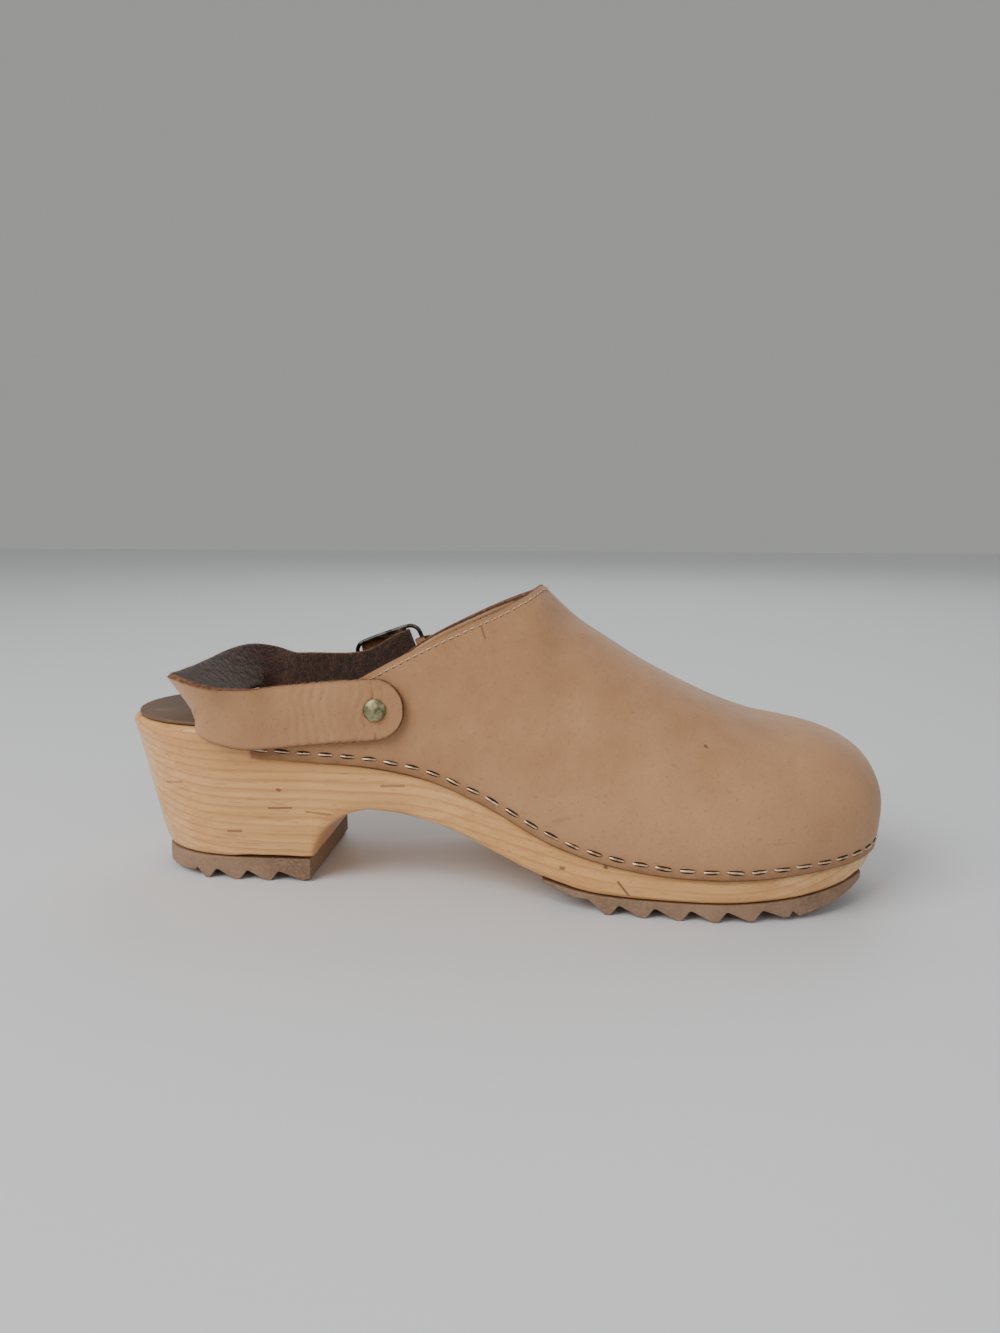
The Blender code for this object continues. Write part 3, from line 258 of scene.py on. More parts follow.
def woodPaint():
    s = wood
    paint = Paint("wood", s["mid"], 0.42, Coat_Roughness=0.28)
    parts = paint.node("ShaderNodeSeparateXYZ", None, {0: paint.coords})
    y = Value(paint, parts.link.node.outputs["Y"])
    z = Value(paint, parts.link.node.outputs["Z"])
    wave = paint.noise(9, 2, 0.5, stretch=(0.6, 1.6, 1.6))
    across = y - s["pith"][0] * mm
    up = z - s["pith"][1] * mm
    radius = (across * across + up * up) ** 0.5 + (wave - 0.5) * (2 * s["ringWave"] * mm)
    turn = paint.node("ShaderNodeMath", {"operation": "FRACT"}, {0: radius / (s["ring"] * mm)})
    ring = paint.between(turn, 0.55, 0.97) * paint.between(turn, 1.0, 0.97)
    streak = paint.between(paint.noise(1.0, 4, 0.6, stretch=s["along"]["streak"]), 0.32, 0.68)
    broad = paint.between(paint.noise(1.0, 3, 0.5, stretch=s["along"]["broad"], shift=(2, 4, 1)), 0.3, 0.7)
    pores = paint.between(paint.noise(1.0, 2, 0.5, stretch=s["along"]["pores"]), 0.635, 0.70)
    rays = paint.between(paint.noise(1.0, 1, 0.4, stretch=s["along"]["rays"], shift=(7, 1, 5)), 0.70, 0.76)
    colour = paint.mix(broad, s["light"], s["mid"])
    colour = paint.mix(streak * 0.45, colour, s["dark"])
    colour = paint.mix(ring * 0.5, colour, s["dark"])
    colour = paint.mix(pores * 0.4, colour, s["pore"])
    colour = paint.mix(rays * 0.22, colour, s["fleck"])
    blush = paint.between(paint.noise(26, 2, 0.5, shift=(1, 6, 3)), 0.45, 0.75)
    colour = paint.mix(blush * 0.22, colour, s["dark"])
    # painted shadow: the wood darkens towards the leather's lower edge, where the proud leather casts
    # shade
    colour = paint.mix(paint.attribute("edge") * 0.55, colour, s["leatherEdgeShade"])
    for start, end, width, strength in s["flecks"]:
        fleck = paint.line(place(*start), place(*end), width * mm)
        colour = paint.mix(fleck * strength, colour, s["fleck"])
    paint.set("Base Color", colour)
    paint.set("Roughness", 0.38 + 0.1 * streak + 0.15 * pores)
    paint.set("Coat Weight", 0.22 + 0.1 * broad)
    paint.bump(streak * 0.3 + pores * -0.8 + ring * 0.2, s["grainDepth"])
    return paint.material


rubber = {"light": rgb(176, 148, 124), "mid": rgb(150, 121, 98), "dark": rgb(112, 86, 66),
          "cloudScale": 40, "speckScale": 900, "scuffScale": (120, 260, 700), "depth": 0.12 * mm}


def rubberPaint():
    s = rubber
    paint = Paint("rubber", s["mid"], 0.7, Specular_IOR_Level=0.35)
    cloud = paint.between(paint.noise(s["cloudScale"], 4, 0.6), 0.3, 0.7)
    speck = paint.noise(s["speckScale"], 3, 0.6)
    scuff = paint.between(paint.noise(1.0, 4, 0.7, stretch=s["scuffScale"]), 0.58, 0.7)
    colour = paint.mix(cloud, s["dark"], s["mid"])
    colour = paint.mix(paint.between(speck, 0.4, 0.7) * 0.3, colour, s["light"])
    colour = paint.mix(scuff * 0.35, colour, s["light"])
    paint.set("Base Color", colour)
    paint.set("Roughness", 0.62 + 0.22 * cloud)
    paint.bump(speck + scuff * 0.6, s["depth"])
    return paint.material


insole = {"dark": rgb(84, 62, 46), "mid": rgb(116, 88, 66), "light": rgb(150, 120, 94),
          "cloudScale": 30, "poreScale": 1100, "rubScale": (60, 160, 60), "depth": 0.08 * mm}


def insolePaint():
    s = insole
    paint = Paint("insoleSock", s["mid"], 0.45, Specular_IOR_Level=0.45)
    cloud = paint.between(paint.noise(s["cloudScale"], 4, 0.6), 0.3, 0.7)
    pores = paint.noise(s["poreScale"], 3, 0.55)
    rub = paint.between(paint.noise(1.0, 4, 0.65, stretch=s["rubScale"]), 0.56, 0.72)
    colour = paint.mix(cloud, s["dark"], s["mid"])
    colour = paint.mix(rub * 0.35, colour, s["light"])
    paint.set("Base Color", colour)
    paint.set("Roughness", 0.36 + 0.22 * cloud)
    paint.bump(pores + rub * 0.3, s["depth"])
    return paint.material


band = {"dark": rgb(178, 134, 96), "mid": rgb(196, 152, 112), "light": rgb(206, 164, 124),
        "cloudScale": 60, "poreScale": 1500, "depth": 0.08 * mm}


def bandPaint():  # smooth tan leather inside the collar
    s = band
    paint = Paint("bandLeather", s["mid"], 0.6, Specular_IOR_Level=0.35)
    cloud = paint.between(paint.noise(s["cloudScale"], 4, 0.6), 0.3, 0.7)
    pores = paint.noise(s["poreScale"], 3, 0.5)
    paint.set("Base Color", paint.mix(cloud, s["dark"], s["light"]))
    paint.set("Roughness", 0.55 + 0.15 * cloud)
    paint.bump(pores, s["depth"])
    return paint.material


metal = {"patinaScale": 260, "wornScale": 700, "depth": 0.04 * mm}


def metalPaint(name, dark, bright, roughness, wornShare):
    s = metal
    paint = Paint(name, dark, roughness, 0.9)
    patina = paint.between(paint.noise(s["patinaScale"], 5, 0.7), 0.35, 0.68)
    worn = paint.between(paint.noise(s["wornScale"], 4, 0.6, shift=(2, 2, 2)), 0.62 - wornShare, 0.75)
    colour = paint.mix(patina, dark, bright)
    paint.set("Base Color", paint.mix(worn * 0.5, colour, bright))
    paint.set("Metallic", 0.95 - 0.25 * patina)
    paint.set("Roughness", roughness + 0.2 * patina)
    paint.bump(patina, s["depth"])
    return paint.material


thread = {"dark": rgb(176, 140, 106), "mid": rgb(214, 184, 150), "light": rgb(226, 200, 168),
          "twistScale": 2600, "depth": 0.08 * mm}


def threadPaint():
    s = thread
    paint = Paint("thread", s["mid"], 0.8)
    twist = paint.noise(s["twistScale"], 2, 0.5)
    paint.set("Base Color", paint.mix(paint.between(twist, 0.35, 0.65), s["dark"], s["light"]))
    paint.bump(twist, s["depth"])
    return paint.material


hole = {"dark": rgb(22, 11, 6), "mid": rgb(36, 19, 11), "dust": rgb(50, 29, 17), "dustScale": 900}


# painted shade: the dark colour of the discs that stand for the shade in staple slots and stitch holes
def holeShadePaint():
    s = hole
    paint = Paint("hole", s["mid"], 0.95)
    dust = paint.noise(s["dustScale"], 3, 0.6)
    paint.set("Base Color", paint.mix(dust, s["dark"], s["dust"]))
    return paint.material


paints = {
    "nubuck": nubuckPaint(),
    "strapNubuck": nubuckPaint("strapNubuck", False),
    "suede": suedePaint(),
    "cutEdge": cutEdgePaint(),
    "wood": woodPaint(),
    "rubber": rubberPaint(),
    "insole": insolePaint(),
    "band": bandPaint(),
    "brass": metalPaint("antiqueBrass", rgb(92, 88, 62), rgb(176, 168, 130), 0.3, 0.05),
    "gunmetal": metalPaint("gunmetal", rgb(38, 36, 34), rgb(104, 98, 88), 0.32, 0.04),
    "wire": metalPaint("stapleWire", rgb(176, 142, 106), rgb(246, 226, 196), 0.22, 0.2),
    "thread": threadPaint(),
    "hole": holeShadePaint(),
}
print("materials made:", len(paints))


# Meshes from the CAD pieces

def joinedCopy(node):  # its corners merged and its triangles paired into quads
    shape = bmesh.new()
    shape.from_mesh(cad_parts[node].data)
    bmesh.ops.remove_doubles(shape, verts=shape.verts, dist=1e-6)
    bmesh.ops.join_triangles(shape, faces=shape.faces, angle_face_threshold=math.radians(30),
                             angle_shape_threshold=math.radians(50))
    shape.normal_update()
    shape.faces.ensure_lookup_table()
    return shape


def regionsOf(shape, angle):  # groups of faces that meet at less than angle, largest first
    limit = math.radians(angle)
    number = [-1] * len(shape.faces)
    groups = []
    for first in shape.faces:
        if number[first.index] >= 0:
            continue
        number[first.index] = len(groups)
        group, waiting = [], [first]
        while waiting:
            face = waiting.pop()
            group.append(face)
            for edge in face.edges:
                if len(edge.link_faces) != 2 or edge.calc_face_angle(0) > limit:
                    continue
                for other in edge.link_faces:
                    if number[other.index] < 0:
                        number[other.index] = number[first.index]
                        waiting.append(other)
        groups.append(group)
    return sorted(groups, key=lambda group: -sum(face.calc_area() for face in group))


def facesTowards(group, point):  # how much a group of faces looks at a point
    return sum(face.calc_area() * face.normal.dot((point - face.calc_center_median()).normalized())
               for face in group)


def broadSides(shape, area, width, angle):  # the two broad sides, with the narrow faces flush with them
    broad = [f for f in shape.faces
             if f.calc_area() > area and f.calc_area() / max(e.calc_length() for e in f.edges) > width]
    left = set(broad)
    groups = []
    for seed in broad:
        if seed not in left:
            continue
        left.discard(seed)
        group = [seed]
        for face in group:
            for other in [f for e in face.edges for f in e.link_faces]:
                if other in left:
                    left.discard(other)
                    group.append(other)
        groups.append(group)
    groups.sort(key=lambda group: -sum(face.calc_area() for face in group))
    taken = {face for group in groups[:2] for face in group}
    for group in groups[:2]:
        for face in group:
            for edge in face.edges:
                for other in edge.link_faces:
                    if other not in taken and edge.calc_face_angle(0) < math.radians(angle):
                        taken.add(other)
                        group.append(other)
    return groups[:2]


def metFirst(groups, start, towards):  # the group that a ray meets first
    distances = []
    for group in groups:
        corners = [vert.co for face in group for vert in face.verts]
        faces = []
        for face in group:
            first = faces[-1][-1] + 1 if faces else 0
            faces.append(list(range(first, first + len(face.verts))))
        reach = BVHTree.FromPolygons(corners, faces).ray_cast(start, towards)[3]
        distances.append(reach if reach is not None else 9.0)
    return groups[distances.index(min(distances))]


def borderLine(group, other):  # the longest run of edges between two groups, in order
    there = set(other)
    edges = [e for face in group for e in face.edges if any(f in there for f in e.link_faces)]
    links = {}
    for edge in dict.fromkeys(edges):
        a, b = edge.verts
        links.setdefault(a, []).append(b)
        links.setdefault(b, []).append(a)
    best = []
    left = set(links)
    while left:
        ends = [v for v in links if v in left and len(links[v]) == 1]
        run = [ends[0] if ends else next(v for v in links if v in left)]
        left.discard(run[0])
        while True:
            ahead = [v for v in links[run[-1]] if v in left]
            if not ahead:
                break
            run.append(ahead[0])
            left.discard(ahead[0])
        if len(run) > len(best):
            best = run
    return [v.co.copy() for v in best]


def coverSides(shape, grain, flesh):  # the rest is cut edge
    for face in shape.faces:
        face.material_index = edgeSlot
    for face in grain:
        face.material_index = grainSlot
    for face in flesh:
        face.material_index = fleshSlot


def creased(shape, angle, amount):
    layer = shape.edges.layers.float.get("crease_edge") or shape.edges.layers.float.new("crease_edge")
    for edge in shape.edges:
        if len(edge.link_faces) == 2 and edge.calc_face_angle(0) > math.radians(angle):
            edge[layer] = amount


def objectFrom(name, shape, materials):
    mesh = bpy.data.meshes.new(name)
    shape.to_mesh(mesh)
    shape.free()
    for material in materials:
        mesh.materials.append(paints[material])
    made = bpy.data.objects.new(name, mesh)
    bpy.context.scene.collection.objects.link(made)
    mesh.shade_smooth()
    return made


def plain(made):  # the mesh as its modifiers leave it
    mesh = bpy.data.meshes.new_from_object(made.evaluated_get(bpy.context.evaluated_depsgraph_get()))
    old = made.data
    made.modifiers.clear()
    made.data = mesh
    mesh.name = made.name
    bpy.data.meshes.remove(old)
    return made


def subdivided(made, levels):
    step = made.modifiers.new("smooth", "SUBSURF")
    step.levels = levels
    step.render_levels = levels
    bpy.context.view_layer.update()
    return plain(made)


def finish(made, node=None):
    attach(made, "root")
    if node:
        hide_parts(node)


def pointsOf(made):
    count = len(made.data.vertices)
    points, normals = np.empty(count * 3), np.empty(count * 3)
    made.data.vertices.foreach_get("co", points)
    made.data.vertices.foreach_get("normal", normals)
    return points.reshape(-1, 3), normals.reshape(-1, 3)


def movePoints(made, points):
    made.data.vertices.foreach_set("co", points.reshape(-1))
    made.data.update()


def setAttribute(made, name, values):
    layer = made.data.attributes.new(name, "FLOAT", "POINT")
    layer.data.foreach_set("value", np.asarray(values, float))


def evenly(line, step):  # points of a line at even steps
    out = [line[0]]
    for a, b in zip(line, line[1:]):
        pieces = max(1, int((b - a).length / step))
        out += [a.lerp(b, (i + 1) / pieces) for i in range(pieces)]
    return out


def distanceTo(line, points, step=0.8 * mm):
    dense = evenly(line, step)
    tree = kdtree.KDTree(len(dense))
    for i, point in enumerate(dense):
        tree.insert(point, i)
    tree.balance()
    return np.array([tree.find(point)[2] for point in points])


def falloff(distance, width):  # 1 at nothing, 0 at width
    share = np.clip(1 - np.asarray(distance) / width, 0, 1)
    return share * share * (3 - 2 * share)


def segmentDistance(points, start, end):
    run = np.array(end - start)
    share = np.clip((points - np.array(start)) @ run / max(run @ run, 1e-12), 0, 1)
    return np.linalg.norm(points - (np.array(start) + share[:, None] * run), axis=1)


# Upper

upperShape = {
    "crease": 0.75, "edgeShade": 5.0, "pull": 0.45, "pullWidth": 3.0, "stapleRise": 2.8,
    "folds": [  # start, end, width, depth (a ridge is negative)
        ((102.5, -8.9, 54.5), (96.2, -33.8, 47.9), 3.2, 0.45),
        ((106.5, -10.0, 53.0), (101.0, -32.0, 46.0), 4.0, -0.25),
        ((20.0, -22.0, 79.0), (52.0, -41.0, 44.0), 9.0, 0.35),
        ((44.0, -20.0, 69.0), (66.0, -40.0, 46.0), 7.0, 0.30),
        ((36.0, 20.0, 72.0), (60.0, 40.0, 45.0), 8.0, 0.40),
        ((62.0, 14.0, 63.0), (78.0, 38.0, 46.0), 6.0, 0.35),
        ((-30.0, -31.0, 55.0), (-4.0, -36.0, 42.0), 9.0, 0.30),
        ((-26.0, 32.0, 56.0), (0.0, 37.0, 42.0), 9.0, 0.30),
    ],
    "waves": 0.16,
}


def upperLeather():
    s = upperShape
    shape = joinedCopy("upper")
    groups = regionsOf(shape, 50)
    outer, inner, bottom, collar = groups[:4]
    lines = {"bottom": borderLine(outer, bottom), "collar": borderLine(outer, collar)}
    coverSides(shape, outer, inner)
    creased(shape, 50, s["crease"])
    made = subdivided(objectFrom("upperLeather", shape, ["nubuck", "suede", "cutEdge"]), smooth)
    points, normals = pointsOf(made)
    low = distanceTo(lines["bottom"], points)
    top = distanceTo(lines["collar"], points)
    depth = s["pull"] * np.exp(-((low / mm - s["stapleRise"]) / (s["pullWidth"] / 2)) ** 2)
    for start, end, width, amount in s["folds"]:
        depth += amount * falloff(segmentDistance(points, place(*start), place(*end)), width * mm)
    waves = np.array([noise.noise(Vector(point) * 55) for point in points])
    depth += s["waves"] * waves * (1 - falloff(top, 8 * mm))
    thin = falloff(top, 1.4 * mm) * 0.15
    movePoints(made, points - normals * ((depth + thin) * mm)[:, None])
    # painted shade: darker nubuck near the lower edge and at the collar top
    shade = np.maximum(falloff(low, s["edgeShade"] * mm), 0.8 * falloff(top, 1.6 * mm))
    setAttribute(made, "edge", shade)
    finish(made, "upper")
    return made, lines


upperPiece, upperLines = upperLeather()
print("upper:", len(upperPiece.data.polygons), "faces")


# Wooden sole and insole

def woodBlock():
    shape = joinedCopy("wood_sole")
    creased(shape, 42, 0.85)
    made = subdivided(objectFrom("woodBlock", shape, ["wood"]), 2)
    points, normals = pointsOf(made)
    dings = np.array([noise.noise(Vector(point) * 160) for point in points])
    movePoints(made, points + normals * (dings * 0.06 * mm)[:, None])
    # painted shadow: marks the wood within 2.2 mm of the leather's lower edge for darkening
    setAttribute(made, "edge", falloff(distanceTo(upperLines["bottom"], points), 2.2 * mm))
    finish(made, "wood_sole")


def insoleSock():
    shape = joinedCopy("insole")
    creased(shape, 50, 0.6)
    made = subdivided(objectFrom("insoleSock", shape, ["insole"]), 2)
    finish(made, "insole")


woodBlock()
insoleSock()
print("sole block and sock made")


# Rubber treads

tread = {"round": 0.35 * mm, "steps": 2}


def treadRubber(node, name):
    shape = joinedCopy(node)
    made = objectFrom(name, shape, ["rubber"])
    made.data.set_sharp_from_angle(angle=math.radians(30))
    step = made.modifiers.new("round", "BEVEL")
    step.width = tread["round"]
    step.segments = tread["steps"]
    step.limit_method = "ANGLE"
    step.angle_limit = math.radians(28)
    bpy.context.view_layer.update()
    plain(made)
    finish(made, node)


treadRubber("heel_tread", "heelRubber")
treadRubber("forefoot_tread", "forefootRubber")


# Collar band

def collarBand():
    shape = joinedCopy("topline_facing")
    groups = regionsOf(shape, 45)
    inside = max(groups[:2], key=lambda group: facesTowards(group, place(-20, 0, 75)))
    rest = groups[1] if inside is groups[0] else groups[0]
    edges = [group for group in groups[2:4]]
    top = max(edges, key=lambda group: sum(f.calc_center_median().z for f in group) / len(group))
    line = borderLine(inside, top)
    for face in shape.faces:
        face.material_index = 1
    for face in inside + rest:
        face.material_index = 0
    creased(shape, 45, 0.7)
    made = subdivided(objectFrom("collarBand", shape, ["band", "cutEdge"]), 2)
    finish(made, "topline_facing")
    return made, line


bandPiece, bandLine = collarBand()
print("collar band made")


# Straps

strapShape = {"wrinkles": (-72.0, -30.0), "wrinkle": 0.30, "spacing": 2.9, "crease": 0.7, "waves": 0.18,
              "sharp": 62, "broadArea": 14 * mm * mm, "broadWidth": 2.6 * mm, "flush": 50}


def strapLeather(node, name, seenFrom, wrinkled):
    s = strapShape
    shape = joinedCopy(node)
    groups = broadSides(shape, s["broadArea"], s["broadWidth"], s["flush"])
    grain = metFirst(groups, *seenFrom)
    flesh = groups[1] if grain is groups[0] else groups[0]
    coverSides(shape, grain, flesh)
    creased(shape, s["sharp"], s["crease"])
    made = subdivided(objectFrom(name, shape, ["strapNubuck", "suede", "cutEdge"]), smooth)
    points, normals = pointsOf(made)
    nearEdge = np.zeros(len(points))
    for face in made.data.polygons:
        if face.material_index == edgeSlot:
            nearEdge[list(face.vertices)] = 1
    move = np.zeros(len(points))
    for i, point in enumerate(points):
        move[i] = s["waves"] * noise.noise(Vector(point) * 90)
        if wrinkled and point[1] < 0:
            x = (point[0] - drawnShift.x) / mm
            start, end = s["wrinkles"]
            inside = min(max((x - start) / 8, 0), 1) * min(max((end - x) / 8, 0), 1)
            bend = 1.6 * noise.noise(Vector((point[0] * 30, 0, point[2] * 95)))
            turn = x / s["spacing"] + bend
            move[i] -= inside * s["wrinkle"] * (1 - abs(math.sin(math.pi * turn))) ** 2.5 * 1.6
    movePoints(made, points + normals * (move * mm)[:, None])
    setAttribute(made, "edge", nearEdge)
    finish(made, node)
    return made


rivetBox = [v.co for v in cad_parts["rivet_lateral"].data.vertices]
tabFront = sum(rivetBox, Vector()) / len(rivetBox) + Vector((-7 * mm, 0.4, 0))  # beside the rivet, far out
strapPiece = strapLeather("heel_strap", "heelStrap", (place(-60, -400, 63), Vector((0, 1, 0))), True)
tabPiece = strapLeather("strap_tab", "buckleTab", (tabFront, Vector((0, -1, 0))), False)
print("straps made")


# Metal

def metalPiece(node, name, paint, crease):
    shape = joinedCopy(node)
    creased(shape, 50, crease)
    made = subdivided(objectFrom(name, shape, [paint]), 2)
    finish(made, node)
    return made


metalPiece("rivet_medial", "rivetInner", "brass", 0.5)
metalPiece("rivet_lateral", "rivetOuter", "brass", 0.5)
metalPiece("buckle_frame", "buckleFrame", "gunmetal", 0.0)
metalPiece("buckle_prong", "bucklePin", "gunmetal", 0.0)
print("metal made")


# Repeats along a path

class Tree:  # one Geometry Nodes tree under construction
    def __init__(self, name, inputs):
        self.group = bpy.data.node_groups.new(name, "GeometryNodeTree")
        self.group.interface.new_socket("Geometry", in_out="INPUT", socket_type="NodeSocketGeometry")
        self.names = {}
        for label, kind in inputs:
            made = self.group.interface.new_socket(label, in_out="INPUT", socket_type="NodeSocket" + kind)
            self.names[label] = made.identifier
        self.group.interface.new_socket("Geometry", in_out="OUTPUT", socket_type="NodeSocketGeometry")
        self.inputs = self.group.nodes.new("NodeGroupInput")
        self.output = self.group.nodes.new("NodeGroupOutput")

    def node(self, kind, settings=None, values=None):
        made = self.group.nodes.new(kind)
        for key, value in (settings or {}).items():
            setattr(made, key, value)
        for socket, value in (values or {}).items():
            if isinstance(value, bpy.types.NodeSocket):
                self.group.links.new(value, made.inputs[socket])
            else:
                made.inputs[socket].default_value = value
        return made

    def given(self, label):
        return self.inputs.outputs[label]

    def close(self, geometry):
        whole = self.node("GeometryNodeRealizeInstances", None, {0: geometry})
        painted = self.node("GeometryNodeSetMaterial", None,
                            {0: whole.outputs[0], "Material": self.given("Material")})
        self.group.links.new(painted.outputs[0], self.output.inputs[0])
        return self


def pathTree():
    tree = Tree("itemsAlongPath", [("Item", "Object"), ("Pitch", "Float"), ("Turn", "Float"),
                                   ("Shrink", "Float"), ("Seed", "Int"), ("Material", "Material")])
    curve = tree.node("GeometryNodeMeshToCurve", None, {0: tree.given("Geometry")})
    even = tree.node("GeometryNodeResampleCurve", {"mode": "LENGTH"},
                     {0: curve.outputs[0], "Length": tree.given("Pitch")})
    outward = tree.node("GeometryNodeInputNamedAttribute", {"data_type": "FLOAT_VECTOR"},
                        {"Name": "outward"})
    tangent = tree.node("GeometryNodeInputTangent")
    turned = tree.node("FunctionNodeAlignRotationToVector", {"axis": "Z"},
                       {"Vector": outward.outputs[0]})
    turned = tree.node("FunctionNodeAlignRotationToVector", {"axis": "X", "pivot_axis": "Z"},
                       {"Rotation": turned.outputs[0], "Vector": tangent.outputs[0]})
    spin = tree.node("FunctionNodeRandomValue", {"data_type": "FLOAT"}, {"Seed": tree.given("Seed")})
    centred = tree.node("ShaderNodeMath", {"operation": "SUBTRACT"}, {0: spin.outputs[1], 1: 0.5})
    angle = tree.node("ShaderNodeMath", {"operation": "MULTIPLY"},
                      {0: centred.outputs[0], 1: tree.given("Turn")})
    euler = tree.node("ShaderNodeCombineXYZ", None, {"Z": angle.outputs[0]})
    asRotation = tree.node("FunctionNodeEulerToRotation", None, {0: euler.outputs[0]})
    turned = tree.node("FunctionNodeRotateRotation", {"rotation_space": "LOCAL"},
                       {0: turned.outputs[0], 1: asRotation.outputs[0]})
    size = tree.node("FunctionNodeRandomValue", {"data_type": "FLOAT"},
                     {"Seed": tree.given("Seed"), "ID": 7})
    loss = tree.node("ShaderNodeMath", {"operation": "MULTIPLY"},
                     {0: size.outputs[1], 1: tree.given("Shrink")})
    scale = tree.node("ShaderNodeMath", {"operation": "SUBTRACT"}, {0: 1.0, 1: loss.outputs[0]})
    info = tree.node("GeometryNodeObjectInfo", None, {"Object": tree.given("Item")})
    spread = tree.node("GeometryNodeInstanceOnPoints", None,
                       {"Points": even.outputs[0], "Instance": info.outputs["Geometry"],
                        "Rotation": turned.outputs[0], "Scale": scale.outputs[0]})
    return tree.close(spread.outputs[0])


def withTree(holder, tree, values):
    step = holder.modifiers.new(tree.group.name, "NODES")
    step.node_group = tree.group
    for label, value in values.items():
        step[tree.names[label]] = value
    bpy.context.view_layer.update()
    return plain(holder)


def onSurface(line, tree, inward, lift, guide):  # a line moved across a surface, with its normals
    dense = evenly(line, 0.7 * mm)
    out = []
    for i, point in enumerate(dense):
        ahead = (dense[min(i + 3, len(dense) - 1)] - dense[max(i - 3, 0)]).normalized()
        spot, normal = tree.find_nearest(point + guide * inward)[:2]
        across = normal.cross(ahead).normalized()
        if across.dot(guide) < 0:
            across = -across
        spot, normal = tree.find_nearest(point + across * inward)[:2]
        out.append((spot + normal * lift, normal))
    return out


def pathObject(name, path):
    mesh = bpy.data.meshes.new(name)
    mesh.from_pydata([p[0] for p in path], [(i, i + 1) for i in range(len(path) - 1)], [])
    layer = mesh.attributes.new("outward", "FLOAT_VECTOR", "POINT")
    layer.data.foreach_set("vector", [c for p in path for c in p[1]])
    made = bpy.data.objects.new(name, mesh)
    bpy.context.scene.collection.objects.link(made)
    return made


def roundBar(path, radius, sides=6):  # a small bar along a path, closed at both ends
    shape = bmesh.new()
    rings = []
    for i, point in enumerate(path):
        ahead = (path[min(i + 1, len(path) - 1)] - path[max(i - 1, 0)]).normalized()
        side = Vector((0, 1, 0))
        up = ahead.cross(side).normalized()
        rings.append([shape.verts.new(point + side * radius * math.cos(a) + up * radius * math.sin(a))
                      for a in (2 * math.pi * k / sides for k in range(sides))])
    for low, high in zip(rings, rings[1:]):
        for k in range(sides):
            shape.faces.new((low[k], low[(k + 1) % sides], high[(k + 1) % sides], high[k]))
    shape.faces.new(rings[0][::-1])
    shape.faces.new(rings[-1])
    bmesh.ops.recalc_face_normals(shape, faces=shape.faces)
    return shape


staple = {"pitch": 7.3 * mm, "crown": 5.0 * mm, "wire": 0.36 * mm, "slot": 0.95 * mm, "turn": 0.16}
stitch = {"pitch": 2.6 * mm, "length": 1.9 * mm, "thread": 0.3 * mm, "hole": 0.55 * mm, "inset": 2.0 * mm}


def stapleCrown():
    s = staple
    half = s["crown"] / 2
    inner = half - 0.3 * mm
    places = [(-half, -0.9), (-half, -0.1), (-inner, 0.22), (inner, 0.22), (half, -0.1), (half, -0.9)]
    path = [Vector((x, 0, z * mm)) for x, z in places]
    return roundBar(path, s["wire"])


def lens(length, width, height, steps=14):  # a flat oval button
    shape = bmesh.new()
    rings = []
    for share, level in ((1.0, -0.5), (1.0, 0.1), (0.8, 0.8), (0.4, 1.0)):
        turns = [2 * math.pi * k / steps for k in range(steps)]
        rings.append([shape.verts.new((length / 2 * share * math.cos(a), width / 2 * share * math.sin(a),
                                       height * level)) for a in turns])
    for low, high in zip(rings, rings[1:]):
        for k in range(steps):
            shape.faces.new((low[k], low[(k + 1) % steps], high[(k + 1) % steps], high[k]))
    shape.faces.new(rings[0][::-1])
    shape.faces.new(rings[-1])
    return shape


def threadStitch():
    s = stitch
    half = s["length"] / 2
    places = [(-1, -0.35), (-0.75, 0.05), (0, 0.16), (0.75, 0.05), (1, -0.35)]
    path = [Vector((share * half, 0, z * mm)) for share, z in places]
    return roundBar(path, s["thread"])


alongPath = pathTree()


def repeated(name, path, shape, values):
    item = objectFrom(name + "Item", shape, [])
    holder = pathObject(name, path)
    made = withTree(holder, alongPath, {"Item": item, **values})
    bpy.data.objects.remove(item)
    made.data.shade_smooth()
    finish(made, None)
    return made


def stapleRow():
    tree = BVHTree.FromObject(upperPiece, bpy.context.evaluated_depsgraph_get())
    rise = upperShape["stapleRise"] * mm
    path = onSurface(upperLines["bottom"], tree, rise, 0.05 * mm, Vector((0, 0, 1)))
    path = path[4:-4]
    sizes = {"Pitch": staple["pitch"], "Turn": staple["turn"], "Shrink": 0.08, "Seed": 3}
    # painted shade: a dark oval sunk under each staple for the shade in its slot
    repeated("stapleSlots", path, lens(staple["crown"] * 1.12, 2 * staple["slot"], 0.12 * mm),
             {**sizes, "Material": paints["hole"]})
    repeated("staples", path, stapleCrown(), {**sizes, "Material": paints["wire"]})


def stitchRow(name, line, piece, guide):
    tree = BVHTree.FromObject(piece, bpy.context.evaluated_depsgraph_get())
    path = onSurface(line, tree, stitch["inset"], 0.02 * mm, guide)
    sizes = {"Pitch": stitch["pitch"], "Turn": 0.12, "Shrink": 0.12, "Seed": 5}
    repeated(name, path, threadStitch(), {**sizes, "Material": paints["thread"]})
    half = stitch["pitch"] / 2
    holes = evenly([p[0] for p in path], 0.7 * mm)
    shifted = onSurface(holes, tree, 0.0, 0.01 * mm, guide)
    start = int(half / (0.7 * mm))
    # painted shade: a dark disc at each stitch hole, between the stitches
    repeated(name + "Holes", shifted[start:], lens(2 * stitch["hole"], 2 * stitch["hole"], 0.06 * mm, 8),
             {**sizes, "Material": paints["hole"]})


stapleRow()
stitchRow("collarStitches", upperLines["collar"], upperPiece, Vector((0, 0, -1)))
stitchRow("bandStitches", bandLine, bandPiece, Vector((0, 0, -1)))
print("staples and stitches made")


# Fibres on raw suede and cut edges

fibre = {"length": 0.9 * mm, "width": 0.06 * mm, "density": 2.0e6, "edgeShare": 1.0, "fleshShare": 0.5,
         "lean": 0.9, "seed": 11}  # density is a square metre's


